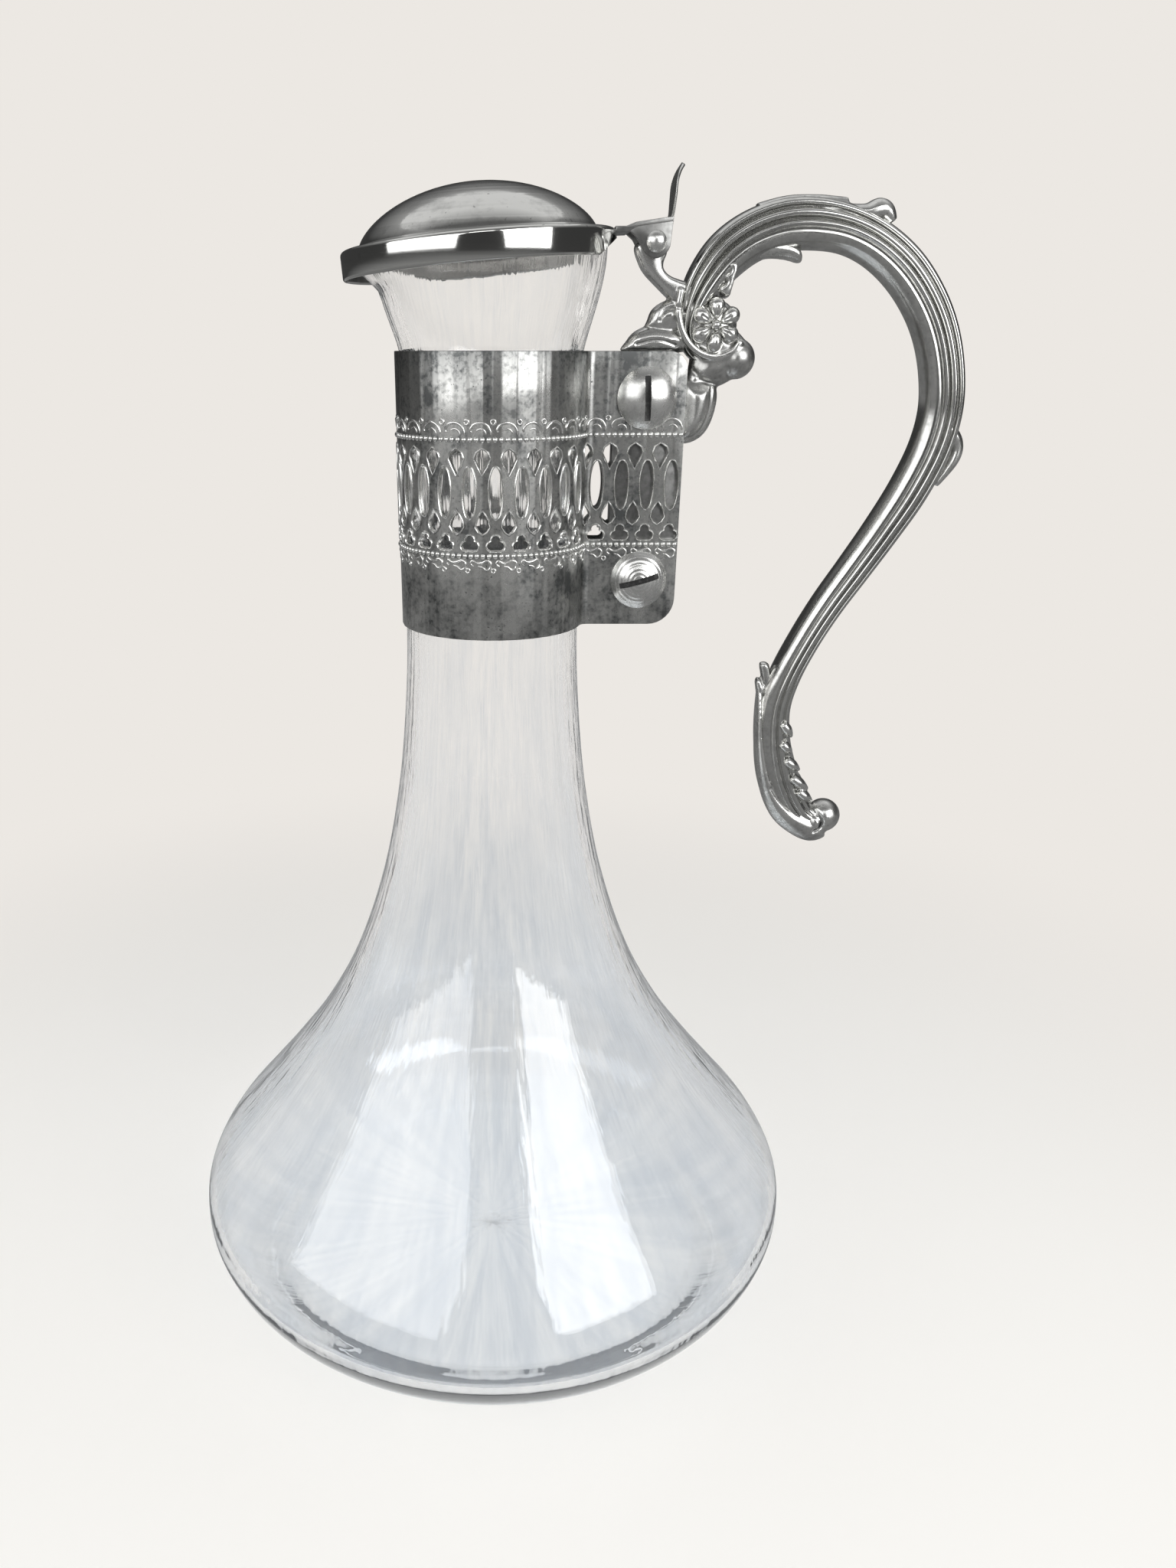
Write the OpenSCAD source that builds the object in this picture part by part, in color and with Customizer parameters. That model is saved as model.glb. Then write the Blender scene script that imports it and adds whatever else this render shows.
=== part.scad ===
// Claret jug: a blown glass jug with a pierced neck collar, a cast scroll handle that the collar clamps,
// and a domed lid on a riveted hinge.
// Frame: the origin is the centre of the flat base, +Z is up, +X points to the handle, and the hinge pin
// lies along Y. Outlines in the plane of the handle are lists of [x, z].

/* [Glass] */
// Radius of the flat ground base
base_r = 56; // [54:0.5:58]
// Radius of the body at its widest
belly_r = 81.5; // [80.5:0.1:83]
// Height of the widest place
belly_z = 27; // [25.5:0.5:28.5]
// Radius of the neck inside the collar
neck_r = 20.2; // [19.8:0.05:20.3]
// Wall thickness of body and neck
glass_t = 2.8; // [2:0.1:3.2]
// Thickness of the heavy floor
floor_t = 7; // [6.5:0.5:9]
// Height where the neck starts to flare
flare_z = 244.5; // [243:0.5:245]
// How far the mouth flares out
flare_out = 4.5; // [3:0.1:4.6]
// How far the pouring lip is pulled out beyond the flare
lip_out = 5.2; // [2:0.1:5.4]

/* [Collar] */
// Inner radius of the collar band
collar_in = 20.4; // [20.35:0.05:20.8]
// Thickness of the collar sheet
collar_t = 0.9; // [0.7:0.1:1.2]
// Height of the collar's lower edge
collar_z0 = 185.5; // [184:0.5:187]
// Height of the collar's upper edge
collar_z1 = 244.8; // [243.5:0.1:246]
// Distance from the neck axis to the ears' free edge
ear_x = 42.9; // [42.6:0.1:44]
// Radius of the bend from the band into each ear
bend_r = 2.5; // [2:0.1:3]
// Number of pierced columns round the band
band_columns = 21; // [17:2:21]

/* [Handle] */
// Thickness of the tang that the ears clamp
tang_t = 5; // [4.5:0.1:5.5]
// Half the depth of the scroll, across the hand
scroll_d = 5; // [4.4:0.1:5.5]
// Thickness of the hinge lug
lug_t = 5.8; // [5.4:0.1:6]

/* [Screws] */
// Distance from the neck axis to the screws
screw_x = 34.2; // [33.5:0.1:35]
// Height of the upper screw
screw_z1 = 235.3; // [234.8:0.1:236]
// Height of the lower screw
screw_z0 = 195.9; // [195:0.1:197]
// Radius of the domed heads
head_r = 6.5; // [5.5:0.1:6.8]
// Height of the domed heads
head_h = 3.2; // [2.6:0.1:3.6]
// Radius of the shanks
shank_r = 2; // [1.6:0.1:2.3]
// Radius of the domed nuts
nut_r = 4.6; // [4:0.1:5.5]

/* [Lid] */
// Distance from the neck axis to the middle of the lid
lid_x = -2.4; // [-2.6:0.1:-2.2]
// Height of the skirt's lower edge at the middle of the lid
lid_z = 260.5; // [260.3:0.1:260.7]
// Tilt of the lid, the hinge side higher
lid_tilt = 4.6; // [4.2:0.1:4.8]
// Outer radius of the skirt
skirt_r = 29.3; // [29.2:0.1:29.8]
// Height of the skirt
skirt_h = 5.5; // [5.3:0.1:5.7]
// Outer radius of the dome
dome_r = 25.4; // [24:0.1:26]
// Height of the dome above the ledge
dome_h = 11; // [8:0.5:14]
// Thickness of the lid's sheet
lid_t = 1; // [0.8:0.1:1.1]

/* [Hinge] */
// Distance from the neck axis to the hinge pin
hinge_x = 34.6; // [34.4:0.1:34.8]
// Height of the hinge pin
hinge_z = 265.7; // [265.5:0.1:265.9]
// Radius of the hinge pin
pin_r = 1.3; // [1:0.1:1.5]
// Radius of the pin's riveted heads
rivet_r = 2.1; // [1.9:0.1:2.4]
// Thickness of each ear beside the lug
knuckle_t = 1.2; // [1:0.1:1.5]
// Width of the thumbpiece
thumb_w = 9; // [8:0.5:12]

/* [Hidden] */
$fn = 96;

// Fits: running clearance of the pin in the lug, and the play of the screws and the riveted ears
pin_play = 0.05;
rivet_play = 0.02;
shank_play = 0.1;

// ---- shared functions -------------------------------------------------------------------------------

// A point on the smooth curve through b and c, at t from 0 to 1
function spline_at(a, b, c, d, t) =
    0.5 * (2 * b + (c - a) * t + (2 * a - 5 * b + 4 * c - d) * pow(t, 2) + (3 * b - a - 3 * c + d) * pow(t, 3));

// The smooth open curve through a list of stations, with so many steps between two of them
function smooth(stations, steps) =
    let (last = len(stations) - 1)
    [for (i = [0 : last]) for (k = [0 : i == last ? 0 : steps - 1])
        spline_at(stations[max(i - 1, 0)], stations[i], stations[min(i + 1, last)],
                  stations[min(i + 2, last)], k / steps)];

// The smooth closed curve through a list of stations
function smooth_loop(stations, steps) =
    let (n = len(stations))
    [for (i = [0 : n - 1]) for (k = [0 : steps - 1])
        spline_at(stations[(i + n - 1) % n], stations[i], stations[(i + 1) % n],
                  stations[(i + 2) % n], k / steps)];

function reversed(list) = [for (i = [len(list) - 1 : -1 : 0]) list[i]];

// From 0 to 1 with level ends
function ease(t) = let (s = min(1, max(0, t))) s * s * (3 - 2 * s);

// Triangles of a tube whose rings have n points each; closed joins the last ring to the first
function tube_sides(rings, n, closed) =
    [for (i = [0 : rings - (closed ? 1 : 2)]) for (k = [0 : n - 1])
        let (j = (i + 1) % rings, m = (k + 1) % n)
        for (face = [[i * n + k, j * n + k, j * n + m], [i * n + k, j * n + m, i * n + m]]) face];

// ---- glass ------------------------------------------------------------------------------------------

// Stations [radius, height] up the outside of the glass
outer_stations = [
    [base_r, 0], [base_r + 4.2, 0.9], [base_r + 8.7, 3.4], [71.8, 9.2], [77.9, 16], [80.9, 22], [belly_r, belly_z],
    [80.5, 32.5], [75.9, 40.5], [68.6, 49.5], [58.9, 61.5], [47.2, 77.5], [36.6, 97], [28.3, 121],
    [23.3, 146], [20.9, 170], [neck_r + 0.1, 187], [neck_r, 205], [neck_r, flare_z]];
outer_curve = smooth(outer_stations, 4);
neck_end = len(outer_curve) - 1;

// The inside follows the outside one wall thickness in, above a thick flat floor with a round corner
inner_floor = [[0, floor_t], [54, floor_t], [62, floor_t + 0.9], [69, floor_t + 4.2], [74.4, floor_t + 9.4]];
inner_from = 24;       // the point of outer_curve where the inside leaves the floor's corner
neck_from = 48;        // the point of outer_curve where the body ends and the neck starts

function inner_point(i) =
    let (a = outer_curve[i - 1], b = outer_curve[min(i + 1, neck_end)], along = (b - a) / norm(b - a))
    outer_curve[i] + glass_t * [-along[1], along[0]];
function outer_run(first, last) = [for (i = [first : last]) outer_curve[i]];
function inner_run(first, last) = [for (i = [last : -1 : first]) inner_point(i)];

// The mouth: rings of points that flare from the neck up to a rim parallel to the lid, with the lip at -X
mouth_sides = 48;
mouth_rings = 8;
mouth_overlap = 1.5;   // how far the mouth reaches down inside the neck's wall
seam_step = 0.12;      // how far its foot stays inside both faces of that wall
rim_gap = 0.3;         // air between the glass and the lid's ledge
rim_h = skirt_h - lid_t - rim_gap;
flare_top = 263;       // height at which the flare is complete
flare_power = 1.25;    // above 1 starts the flare more gently
lip_from = 0.6;        // share of the mouth's height where the lip starts
lip_round = 6;         // how narrow the lip is
rim_edge = 0.5;        // how far each edge of the rim is taken in

function lip_share(angle) = pow(max(0, -cos(angle)), lip_round);
function rim_z(x) = lid_z + rim_h + (x - lid_x) * tan(lid_tilt);
function mouth_point(s, angle, inset) =
    let (z_rough = flare_z + s * (flare_top - flare_z),
         flare = flare_out * pow(sin(90 * min(1, max(0, z_rough - flare_z) / (flare_top - flare_z))), flare_power),
         lip = lip_out * ease((s - lip_from) / (1 - lip_from)) * lip_share(angle),
         r = neck_r + flare + lip - inset,
         z_foot = flare_z - mouth_overlap)
    [r * cos(angle), r * sin(angle), z_foot + s * (rim_z(r * cos(angle)) - z_foot)];

module glass_mouth() {
    turn = [for (k = [0 : mouth_sides - 1]) 360 * k / mouth_sides];
    outside = [for (i = [0 : mouth_rings]) for (a = turn)
        mouth_point(i / mouth_rings, a, i == 0 ? seam_step : i == mouth_rings ? rim_edge : 0)];
    inside = [for (i = [mouth_rings : -1 : 0]) for (a = turn)
        mouth_point(i / mouth_rings, a, glass_t - (i == mouth_rings ? rim_edge : i == 0 ? seam_step : 0))];
    polyhedron(concat(outside, inside), tube_sides(2 * (mouth_rings + 1), mouth_sides, true), convexity = 4);
}

// The jug is blown in one piece. Its body and its neck are two nodes that meet on a cone through the wall,
// because the outside is hollow between the belly and the mouth, and each node can then be followed closely.
module glass_body() {
    color([0.82, 0.9, 0.94, 0.45]) rotate_extrude()
        polygon(concat([[0, 0]], outer_run(0, neck_from), inner_run(inner_from, neck_from), reversed(inner_floor)));
}

module glass_neck() {
    color([0.82, 0.9, 0.94, 0.45]) union() {
        rotate_extrude() polygon(concat(outer_run(neck_from, neck_end), inner_run(neck_from, neck_end)));
        glass_mouth();
    }
}

// ---- collar -----------------------------------------------------------------------------------------

collar_r = collar_in + collar_t;
collar_h = collar_z1 - collar_z0;
tang_half = tang_t / 2;
ear_half = tang_half + collar_t;
bend_y = tang_half + collar_t / 2 + bend_r;
bend_x = sqrt(pow(collar_in + collar_t / 2 + bend_r, 2) - pow(bend_y, 2));
bend_angle = atan(bend_y / bend_x);
seam_overlap = 0.4;                                      // degrees that the band runs into the bend
seam_angle = bend_angle - seam_overlap;
ear_top_corner = 4;
ear_bottom_corner = 6;

// Pierced rows: heights of their middles, and columns. Kites and drops stand between the long ovals.
oval_z = 217;
kite_z = 223.4;
drop_z = 210.8;
trefoil_z = 206.6;
first_column = 25.6;                                     // angle from +X of the column next to each ear
column_step = (360 - 2 * first_column) / (band_columns - 1);
ear_ovals = [23.8, 29.4, 35.1, 40.7];
ear_kites = [21.2, 26.6, 32.2, 37.9];

module oval_hole() { polygon([for (a = [0 : 20 : 340]) [1.4 * cos(a), 5.2 * sin(a)]]); }
module kite_hole() { polygon([[0, -2.6], [1.55, 0.5], [1.1, 1.7], [0, 2.3], [-1.1, 1.7], [-1.55, 0.5]]); }
module drop_hole() {
    polygon([[0, 2.5], [1.1, 0.6], [1.5, -0.8], [0.8, -1.7], [0, -2.3], [-0.8, -1.7], [-1.5, -0.8], [-1.1, 0.6]]);
}
module trefoil_hole() {
    translate([0, 0.75]) circle(r = 0.9, $fn = 24);
    for (side = [-1, 1]) translate([0.95 * side, -0.6]) circle(r = 0.9, $fn = 24);
    translate([-0.95, -1.5]) square([1.9, 1.8]);
}

// The two shapes of a column, one over the other
module oval_column() {
    translate([0, oval_z]) oval_hole();
    translate([0, trefoil_z]) trefoil_hole();
}
module kite_column() {
    translate([0, kite_z]) kite_hole();
    translate([0, drop_z]) drop_hole();
}

// A column cut through the band at an angle, or straight through both ears at x
module cut_band(angle) {
    rotate([90, 0, angle + 90]) translate([0, 0, collar_in - 1]) linear_extrude(collar_t + 2) children();
}
module cut_ears(x) {
    translate([x, 0, 0]) rotate([90, 0, 0]) linear_extrude(4 * ear_half, center = true) children();
}

// The sheet seen from above: the band, and on each side a bend and an ear
module collar_plan() {
    difference() {
        circle(r = collar_r);
        circle(r = collar_in);
        polygon([[0, 0], 2 * collar_r * [cos(seam_angle), -sin(seam_angle)],
                 2 * collar_r * [cos(seam_angle), sin(seam_angle)]]);
    }
    for (side = [-1, 1]) {
        intersection() {
            translate([bend_x, side * bend_y]) difference() {
                circle(r = bend_r + collar_t / 2);
                circle(r = bend_r - collar_t / 2);
            }
            polygon([[bend_x, side * bend_y], [bend_x, 0], [0, 0]]);
        }
        translate([bend_x, side > 0 ? tang_half : -ear_half]) square([ear_x - bend_x, collar_t]);
    }
}

// What is taken off a square corner at the ears' free edge to leave a round one
module corner_waste(z, radius, up) {
    translate([ear_x - radius, 0, z - up * radius]) rotate([90, 0, 0]) linear_extrude(4 * ear_half, center = true)
        difference() {
            translate([0, up > 0 ? 0 : -radius - 1]) square(radius + 1);
            circle(r = radius);
        }
}

module neck_collar() {
    color([0.62, 0.61, 0.58]) difference() {
        translate([0, 0, collar_z0]) linear_extrude(collar_h) collar_plan();
        corner_waste(collar_z1, ear_top_corner, 1);
        corner_waste(collar_z0, ear_bottom_corner, -1);
        for (i = [0 : band_columns - 1]) cut_band(first_column + i * column_step) oval_column();
        for (i = [0 : band_columns - 2]) cut_band(first_column + (i + 0.5) * column_step) kite_column();
        for (x = ear_ovals) cut_ears(x) oval_column();
        for (x = ear_kites) cut_ears(x) kite_column();
        for (z = [screw_z0, screw_z1]) translate([screw_x, 0, z]) rotate([90, 0, 0])
            cylinder(r = shank_r + shank_play, h = 4 * ear_half, center = true);
    }
}

// ---- handle -----------------------------------------------------------------------------------------

// Stations down the middle of the scroll: [x, z, half its width in the plane, share of its full depth]
scroll_stations = [
    [53.2, 248.4, 0.9, 0.5], [51.6, 245, 1.4, 0.6], [48, 243.6, 1.7, 0.66], [44.6, 244.8, 1.9, 0.72],
    [42.8, 248.4, 2.2, 0.8], [43.4, 253, 3.1, 0.9], [45.6, 257.8, 4.3, 1], [49.6, 263, 5, 1], [54.9, 266.8, 5.1, 1],
    [61.5, 269, 5.1, 1], [68.4, 269.3, 5, 1], [75.4, 268.1, 4.7, 1], [82, 265.2, 4.7, 1], [88.1, 260.6, 4.8, 1],
    [93.2, 254.6, 4.8, 1], [96.9, 248, 4.8, 1], [99.3, 240.4, 4.8, 1], [100.2, 232.6, 4.8, 1], [98.9, 224.4, 4.75, 1],
    [95.3, 215.4, 4.6, 0.98], [90.4, 206.6, 4.3, 0.95], [85.1, 198, 4.1, 0.92], [79.7, 189.4, 3.95, 0.9],
    [75.2, 181, 3.85, 0.88], [71.5, 172.4, 3.9, 0.87], [69.6, 164.4, 4.05, 0.87], [69.9, 156, 4.5, 0.87],
    [71.7, 148, 5.1, 0.86], [74.6, 141, 5.2, 0.84], [78.4, 135.8, 4.5, 0.8], [82.4, 133.4, 4, 0.78]];
scroll_curve = smooth(scroll_stations, 3);

// Half of the section, from the outer edge to the inner one: reeds on the side, then a smooth round band
half_section = [[0.97, 0.42], [0.86, 0.74], [0.75, 0.64], [0.62, 0.9], [0.48, 0.78], [0.34, 0.98],
                [0.19, 0.85], [0.05, 1], [-0.12, 0.86], [-0.26, 0.92], [-0.52, 0.8], [-0.76, 0.6], [-0.93, 0.33]];
section = concat([[1, 0]], half_section, [[-1, 0]], [for (p = reversed(half_section)) [p[0], -p[1]]]);

function scroll_ring(i) =
    let (last = len(scroll_curve) - 1, p = scroll_curve[i],
         a = scroll_curve[max(i - 1, 0)], b = scroll_curve[min(i + 1, last)],
         run = [b[0] - a[0], b[1] - a[1]], out = [-run[1], run[0]] / norm(run))
    [for (q = section) [p[0] + out[0] * p[2] * q[0], scroll_d * p[3] * q[1], p[1] + out[1] * p[2] * q[0]]];

module scroll() {
    rings = len(scroll_curve);
    n = len(section);
    points = [for (i = [0 : rings - 1]) for (p = scroll_ring(i)) p];
    caps = [[for (k = [n - 1 : -1 : 0]) k], [for (k = [0 : n - 1]) (rings - 1) * n + k]];
    polyhedron(points, concat([for (f = tube_sides(rings, n, false)) reversed(f)], [for (f = caps) reversed(f)]),
               convexity = 8);
}

// Cast leaves, lobes and brackets are flat outlines in the plane of the handle, with smooth edges
module cast_outline(outline, depth, steps = 4) {
    rotate([90, 0, 0]) linear_extrude(depth, center = true) polygon(smooth_loop(outline, steps));
}

upper_leaf = [[28.6, 244.2], [30, 247.2], [33.6, 249.4], [34.2, 251.6], [35.6, 254.2], [38.4, 255.3], [42.6, 255.6],
              [44.5, 250], [44, 243], [36, 242.6]];
lower_bracket = [[41, 226], [45, 226.2], [47.9, 228.4], [49.4, 231.6], [49.8, 236.8], [53.6, 239.2], [56.2, 241.4],
                 [57.2, 244.4], [56.3, 247], [54, 248.2], [47, 248.6], [41, 244.6]];
arch_leaf = [[50.6, 257.2], [53.4, 260.2], [57, 261.9], [61, 262.4], [65.4, 262], [66.4, 263.6], [65.8, 266.4],
             [57, 266.4], [50, 262]];
crest_knob = [[77, 270.2], [79.2, 272.2], [81.2, 273.6], [83, 272.9], [83.9, 270.6], [83.4, 267.6], [79.4, 267]];
outer_bud = [[101.4, 229.6], [104.2, 228], [105.4, 225.4], [104.9, 222.8], [102.4, 219.6], [99.4, 224]];
tail_leaf = [[69, 176.2], [66.4, 175.6], [65, 174.2], [65.7, 172.4], [64.3, 171.4], [64.5, 169], [65.6, 165.4], [69, 165]];
lug_arm = [[31, 264.6], [31.3, 262.2], [32.6, 259.5], [35, 257.6], [38.4, 255.2], [43, 253.4], [44.4, 257.4],
           [42.4, 260.2], [40.2, 259.4], [37.2, 260.5], [36.3, 262], [36.9, 264], [34.4, 266.4]];

// How thick each casting is, across the hand
upper_leaf_d = 6.2;
bracket_d = 7;
arch_leaf_d = 4.4;
knob_d = 5.4;
bud_d = 4.6;
tail_leaf_d = 5.8;
curl_share = 0.8;      // share of the scroll's depth that the curl has

eye_x = 47.8;          // the flower's middle, which is also the eye of the volute
eye_z = 249.9;
eye_r = 5.4;
eye_depth = 7.6;
petal_r = 1.9;
petal_ring = 2.9;
petals = 6;
boss_r = 1.3;
curl_x = 83.9;         // the round curl at the foot of the scroll
curl_z = 134.9;
curl_r = 4.7;
tang_x0 = 27;
tang_foot = 0.5;       // how far above the collar's lower edge the tang starts
tang_rise = 0.2;       // how far above the collar's upper edge it ends
tang_inset = 0.3;      // how far it stays behind the ears' free edge
seat_play = 0.02;      // between the tang and an ear
seat_gap = 0.15;       // between the casting and the ears' edges
lug_r = 2.6;

module flower(front) {
    translate([eye_x, front * eye_depth / 2, eye_z]) {
        for (k = [0 : petals - 1]) rotate([0, (k + 0.5) * 360 / petals, 0]) translate([petal_ring, 0, 0])
            sphere(r = petal_r, $fn = 24);
        translate([0, front, 0]) sphere(r = boss_r, $fn = 24);
    }
}

module tang() {
    translate([tang_x0, -tang_half, collar_z0 + tang_foot])
        cube([ear_x - tang_x0 - tang_inset, tang_t, collar_h - tang_foot + tang_rise]);
}

// The ears lie against the tang, so the casting keeps clear of them on both sides
module ear_seats() {
    for (side = [0, 1]) mirror([0, side, 0])
        translate([tang_x0 - 1, tang_half - seat_play, collar_z0 - 1])
            cube([ear_x + seat_gap - tang_x0 + 1, scroll_d, collar_h + seat_gap + 1]);
}

module scroll_handle() {
    color([0.6, 0.59, 0.56]) difference() {
        union() {
            scroll();
            tang();
            cast_outline(upper_leaf, upper_leaf_d);
            cast_outline(lower_bracket, bracket_d);
            cast_outline(arch_leaf, arch_leaf_d);
            cast_outline(crest_knob, knob_d);
            cast_outline(outer_bud, bud_d);
            cast_outline(tail_leaf, tail_leaf_d);
            cast_outline(lug_arm, lug_t);
            translate([hinge_x, 0, hinge_z]) rotate([90, 0, 0]) cylinder(r = lug_r, h = lug_t, center = true);
            translate([eye_x, 0, eye_z]) rotate([90, 0, 0]) cylinder(r = eye_r, h = eye_depth, center = true);
            translate([curl_x, 0, curl_z]) rotate([90, 0, 0])
                cylinder(r = curl_r, h = 2 * curl_share * scroll_d, center = true);
            for (front = [-1, 1]) flower(front);
        }
        ear_seats();
        translate([hinge_x, 0, hinge_z]) rotate([90, 0, 0])
            cylinder(r = pin_r + pin_play, h = 2 * lug_t, center = true);
        for (z = [screw_z0, screw_z1]) translate([screw_x, 0, z]) rotate([90, 0, 0])
            cylinder(r = shank_r + shank_play, h = 2 * tang_t, center = true);
    }
}

// ---- screws and nuts --------------------------------------------------------------------------------

nut_h = 4.4;
nut_rim = 1.4;
head_rim = 0.5;
slot_w = 1.3;
slot_depth = 1.5;
shank_end = 3.2;       // how far the shank reaches into the nut

// A dome that stands on a short cylinder of its own radius
module dome(radius, rim, height) {
    cap = height - rim;
    ball = (pow(radius, 2) + pow(cap, 2)) / (2 * cap);
    intersection() {
        cylinder(r = radius, h = height);
        translate([0, 0, height - ball]) sphere(r = ball);
    }
}

module slotted_screw(z, slot_angle) {
    color([0.78, 0.77, 0.74]) translate([screw_x, -ear_half, z]) rotate([90, 0, 0]) {
        difference() {
            dome(head_r, head_rim, head_h);
            rotate([0, 0, slot_angle]) translate([-2 * head_r, -slot_w / 2, head_h - slot_depth])
                cube([4 * head_r, slot_w, head_h]);
        }
        translate([0, 0, -2 * ear_half - shank_end]) cylinder(r = shank_r, h = 2 * ear_half + shank_end + head_rim);
    }
}

module domed_nut(z) {
    color([0.7, 0.69, 0.66]) translate([screw_x, ear_half, z]) rotate([-90, 0, 0]) difference() {
        dome(nut_r, nut_rim, nut_h);
        translate([0, 0, -1]) cylinder(r = shank_r + rivet_play, h = shank_end + 1.1);
    }
}

module upper_screw() { slotted_screw(screw_z1, 92); }
module lower_screw() { slotted_screw(screw_z0, 15); }
module upper_nut() { domed_nut(screw_z1); }
module lower_nut() { domed_nut(screw_z0); }

// ---- lid --------------------------------------------------------------------------------------------

ledge_in = dome_r - 2;
ledge_round = 0.9;
dome_steps = 16;
dome_fullness = 1.3;   // 1 is a half ellipse, above 1 is flatter towards the ledge

module in_lid_frame() { translate([lid_x, 0, lid_z]) rotate([0, -lid_tilt, 0]) children(); }

function dome_curve(radius, height) =
    [for (k = [0 : dome_steps]) let (a = 90 - 90 * k / dome_steps)
        [radius * sin(a), skirt_h + height * pow(cos(a), dome_fullness)]];

module lid_dome() {
    color([0.72, 0.71, 0.68]) in_lid_frame() rotate_extrude()
        polygon(concat(dome_curve(dome_r, dome_h), reversed(dome_curve(dome_r - lid_t, dome_h - lid_t))));
}

// The skirt is cut away slantwise beside the hinge, so that it clears the glass as the lid opens
module hinge_side_waste() {
    rotate([90, 0, 0]) linear_extrude(2 * skirt_r, center = true)
        polygon([[20, 260.6], [27.2, 267.2], [34, 267.2], [34, 257], [20, 257]]);
}

module lid_rim() {
    corner = [for (a = [0 : 15 : 90]) [skirt_r - ledge_round * (1 - cos(a)), skirt_h - ledge_round * (1 - sin(a))]];
    color([0.66, 0.65, 0.62]) difference() {
        in_lid_frame() rotate_extrude()
            polygon(concat([[skirt_r - lid_t, 0], [skirt_r, 0]], corner,
                           [[ledge_in, skirt_h], [ledge_in, skirt_h - lid_t], [skirt_r - lid_t, skirt_h - lid_t]]));
        hinge_side_waste();
    }
}

// ---- hinge ------------------------------------------------------------------------------------------

knuckle_gap = 0.2;
knuckle_in = lug_t / 2 + knuckle_gap;
strap_half = knuckle_in + knuckle_t;
knuckle_r = 3.05;
strap_outline = [[25.4, 267.35], [28.4, 267.5], [30.4, 268.3], [37.95, 269.35], [38, 270.4], [30.2, 269.35],
                 [28.2, 268.6], [25.4, 268.6]];
knuckle_outline = [[28.9, 267.7], [30.3, 266.6], [31.6, 264.5], [34.4, 264], [37.3, 264.9], [37.7, 266.4],
                   [37.95, 269.6], [30.4, 268.6]];
thumb_mid = [[37.5, 269.6], [37.95, 271.2], [38.15, 274], [38.3, 276.6], [38.9, 278.7], [39.9, 280.3]];
thumb_t = 0.9;
thumb_foot = 0.6;      // how far above the lowest point of its line the thumbpiece stands on the strap
thumb_crown = 1;       // height of the flatter stretch at its top
rivet_rim = 0.3;
rivet_h = 1.3;
pin_end = 0.2;         // how far the pin reaches into each of its heads

module hinge_strap() {
    color([0.66, 0.65, 0.62]) difference() {
        union() {
            rotate([90, 0, 0]) linear_extrude(2 * strap_half, center = true) polygon(strap_outline);
            for (side = [-1, 1]) translate([0, side * (knuckle_in + knuckle_t / 2), 0]) rotate([90, 0, 0])
                linear_extrude(knuckle_t, center = true) {
                    polygon(knuckle_outline);
                    translate([hinge_x, hinge_z]) circle(r = knuckle_r);
                }
        }
        translate([hinge_x, 0, hinge_z]) rotate([90, 0, 0])
            cylinder(r = pin_r + rivet_play, h = 4 * strap_half, center = true);
        in_lid_frame() translate([0, 0, -1]) cylinder(r = skirt_r + rivet_play, h = skirt_h + 2);
    }
}

module thumbpiece() {
    curve = smooth(thumb_mid, 3);
    half = thumb_t / 2;
    base_z = thumb_mid[0][1];
    tip_z = thumb_mid[len(thumb_mid) - 1][1];
    shoulder_z = tip_z - thumb_w / 2 - thumb_crown;
    color([0.68, 0.67, 0.64]) difference() {
        intersection() {
            rotate([90, 0, 0]) linear_extrude(thumb_w, center = true)
                polygon(concat([for (p = curve) p - [half, 0]], [for (p = reversed(curve)) p + [half, 0]]));
            rotate([90, 0, 90]) linear_extrude(2 * ear_x) {
                translate([0, shoulder_z]) circle(r = thumb_w / 2);
                translate([-thumb_w / 2, base_z]) square([thumb_w, shoulder_z - base_z]);
                translate([-thumb_w / 4, shoulder_z]) square([thumb_w / 2, tip_z - shoulder_z]);
            }
        }
        rotate([90, 0, 0]) linear_extrude(2 * thumb_w, center = true) polygon(strap_outline);
        translate([0, -thumb_w, 0]) cube([2 * ear_x, 2 * thumb_w, base_z + thumb_foot]);
    }
}

module hinge_pin() {
    color([0.8, 0.79, 0.76]) translate([hinge_x, 0, hinge_z]) {
        rotate([90, 0, 0]) cylinder(r = pin_r, h = 2 * (strap_half + pin_end), center = true);
        for (front = [0, 180]) rotate([0, 0, front]) translate([0, -strap_half - rivet_play, 0]) rotate([90, 0, 0])
            dome(rivet_r, rivet_rim, rivet_h);
    }
}

glass_body();
glass_neck();
neck_collar();
scroll_handle();
upper_screw();
lower_screw();
upper_nut();
lower_nut();
lid_dome();
lid_rim();
hinge_strap();
thumbpiece();
hinge_pin();
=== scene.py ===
# %% [markdown]
# # A claret jug of blown glass with silver-plated mounts
# A claret jug is a wine jug: a wide flat body that lets the wine breathe, a long neck, and a metal mount
# that holds a handle and a hinged lid. Here the glass is clear and thick, and the mounts are plated metal,
# bright where hands rub them and grey with tarnish elsewhere.
#
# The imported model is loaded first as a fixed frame. It says where each part is and which parts move
# together. Every piece of the jug is built in millimetres, in that frame, and scaled to metres once, when it
# is finished.

# %% Load the frame
import math

import bmesh
import bpy
from mathutils import Matrix, Vector


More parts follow.
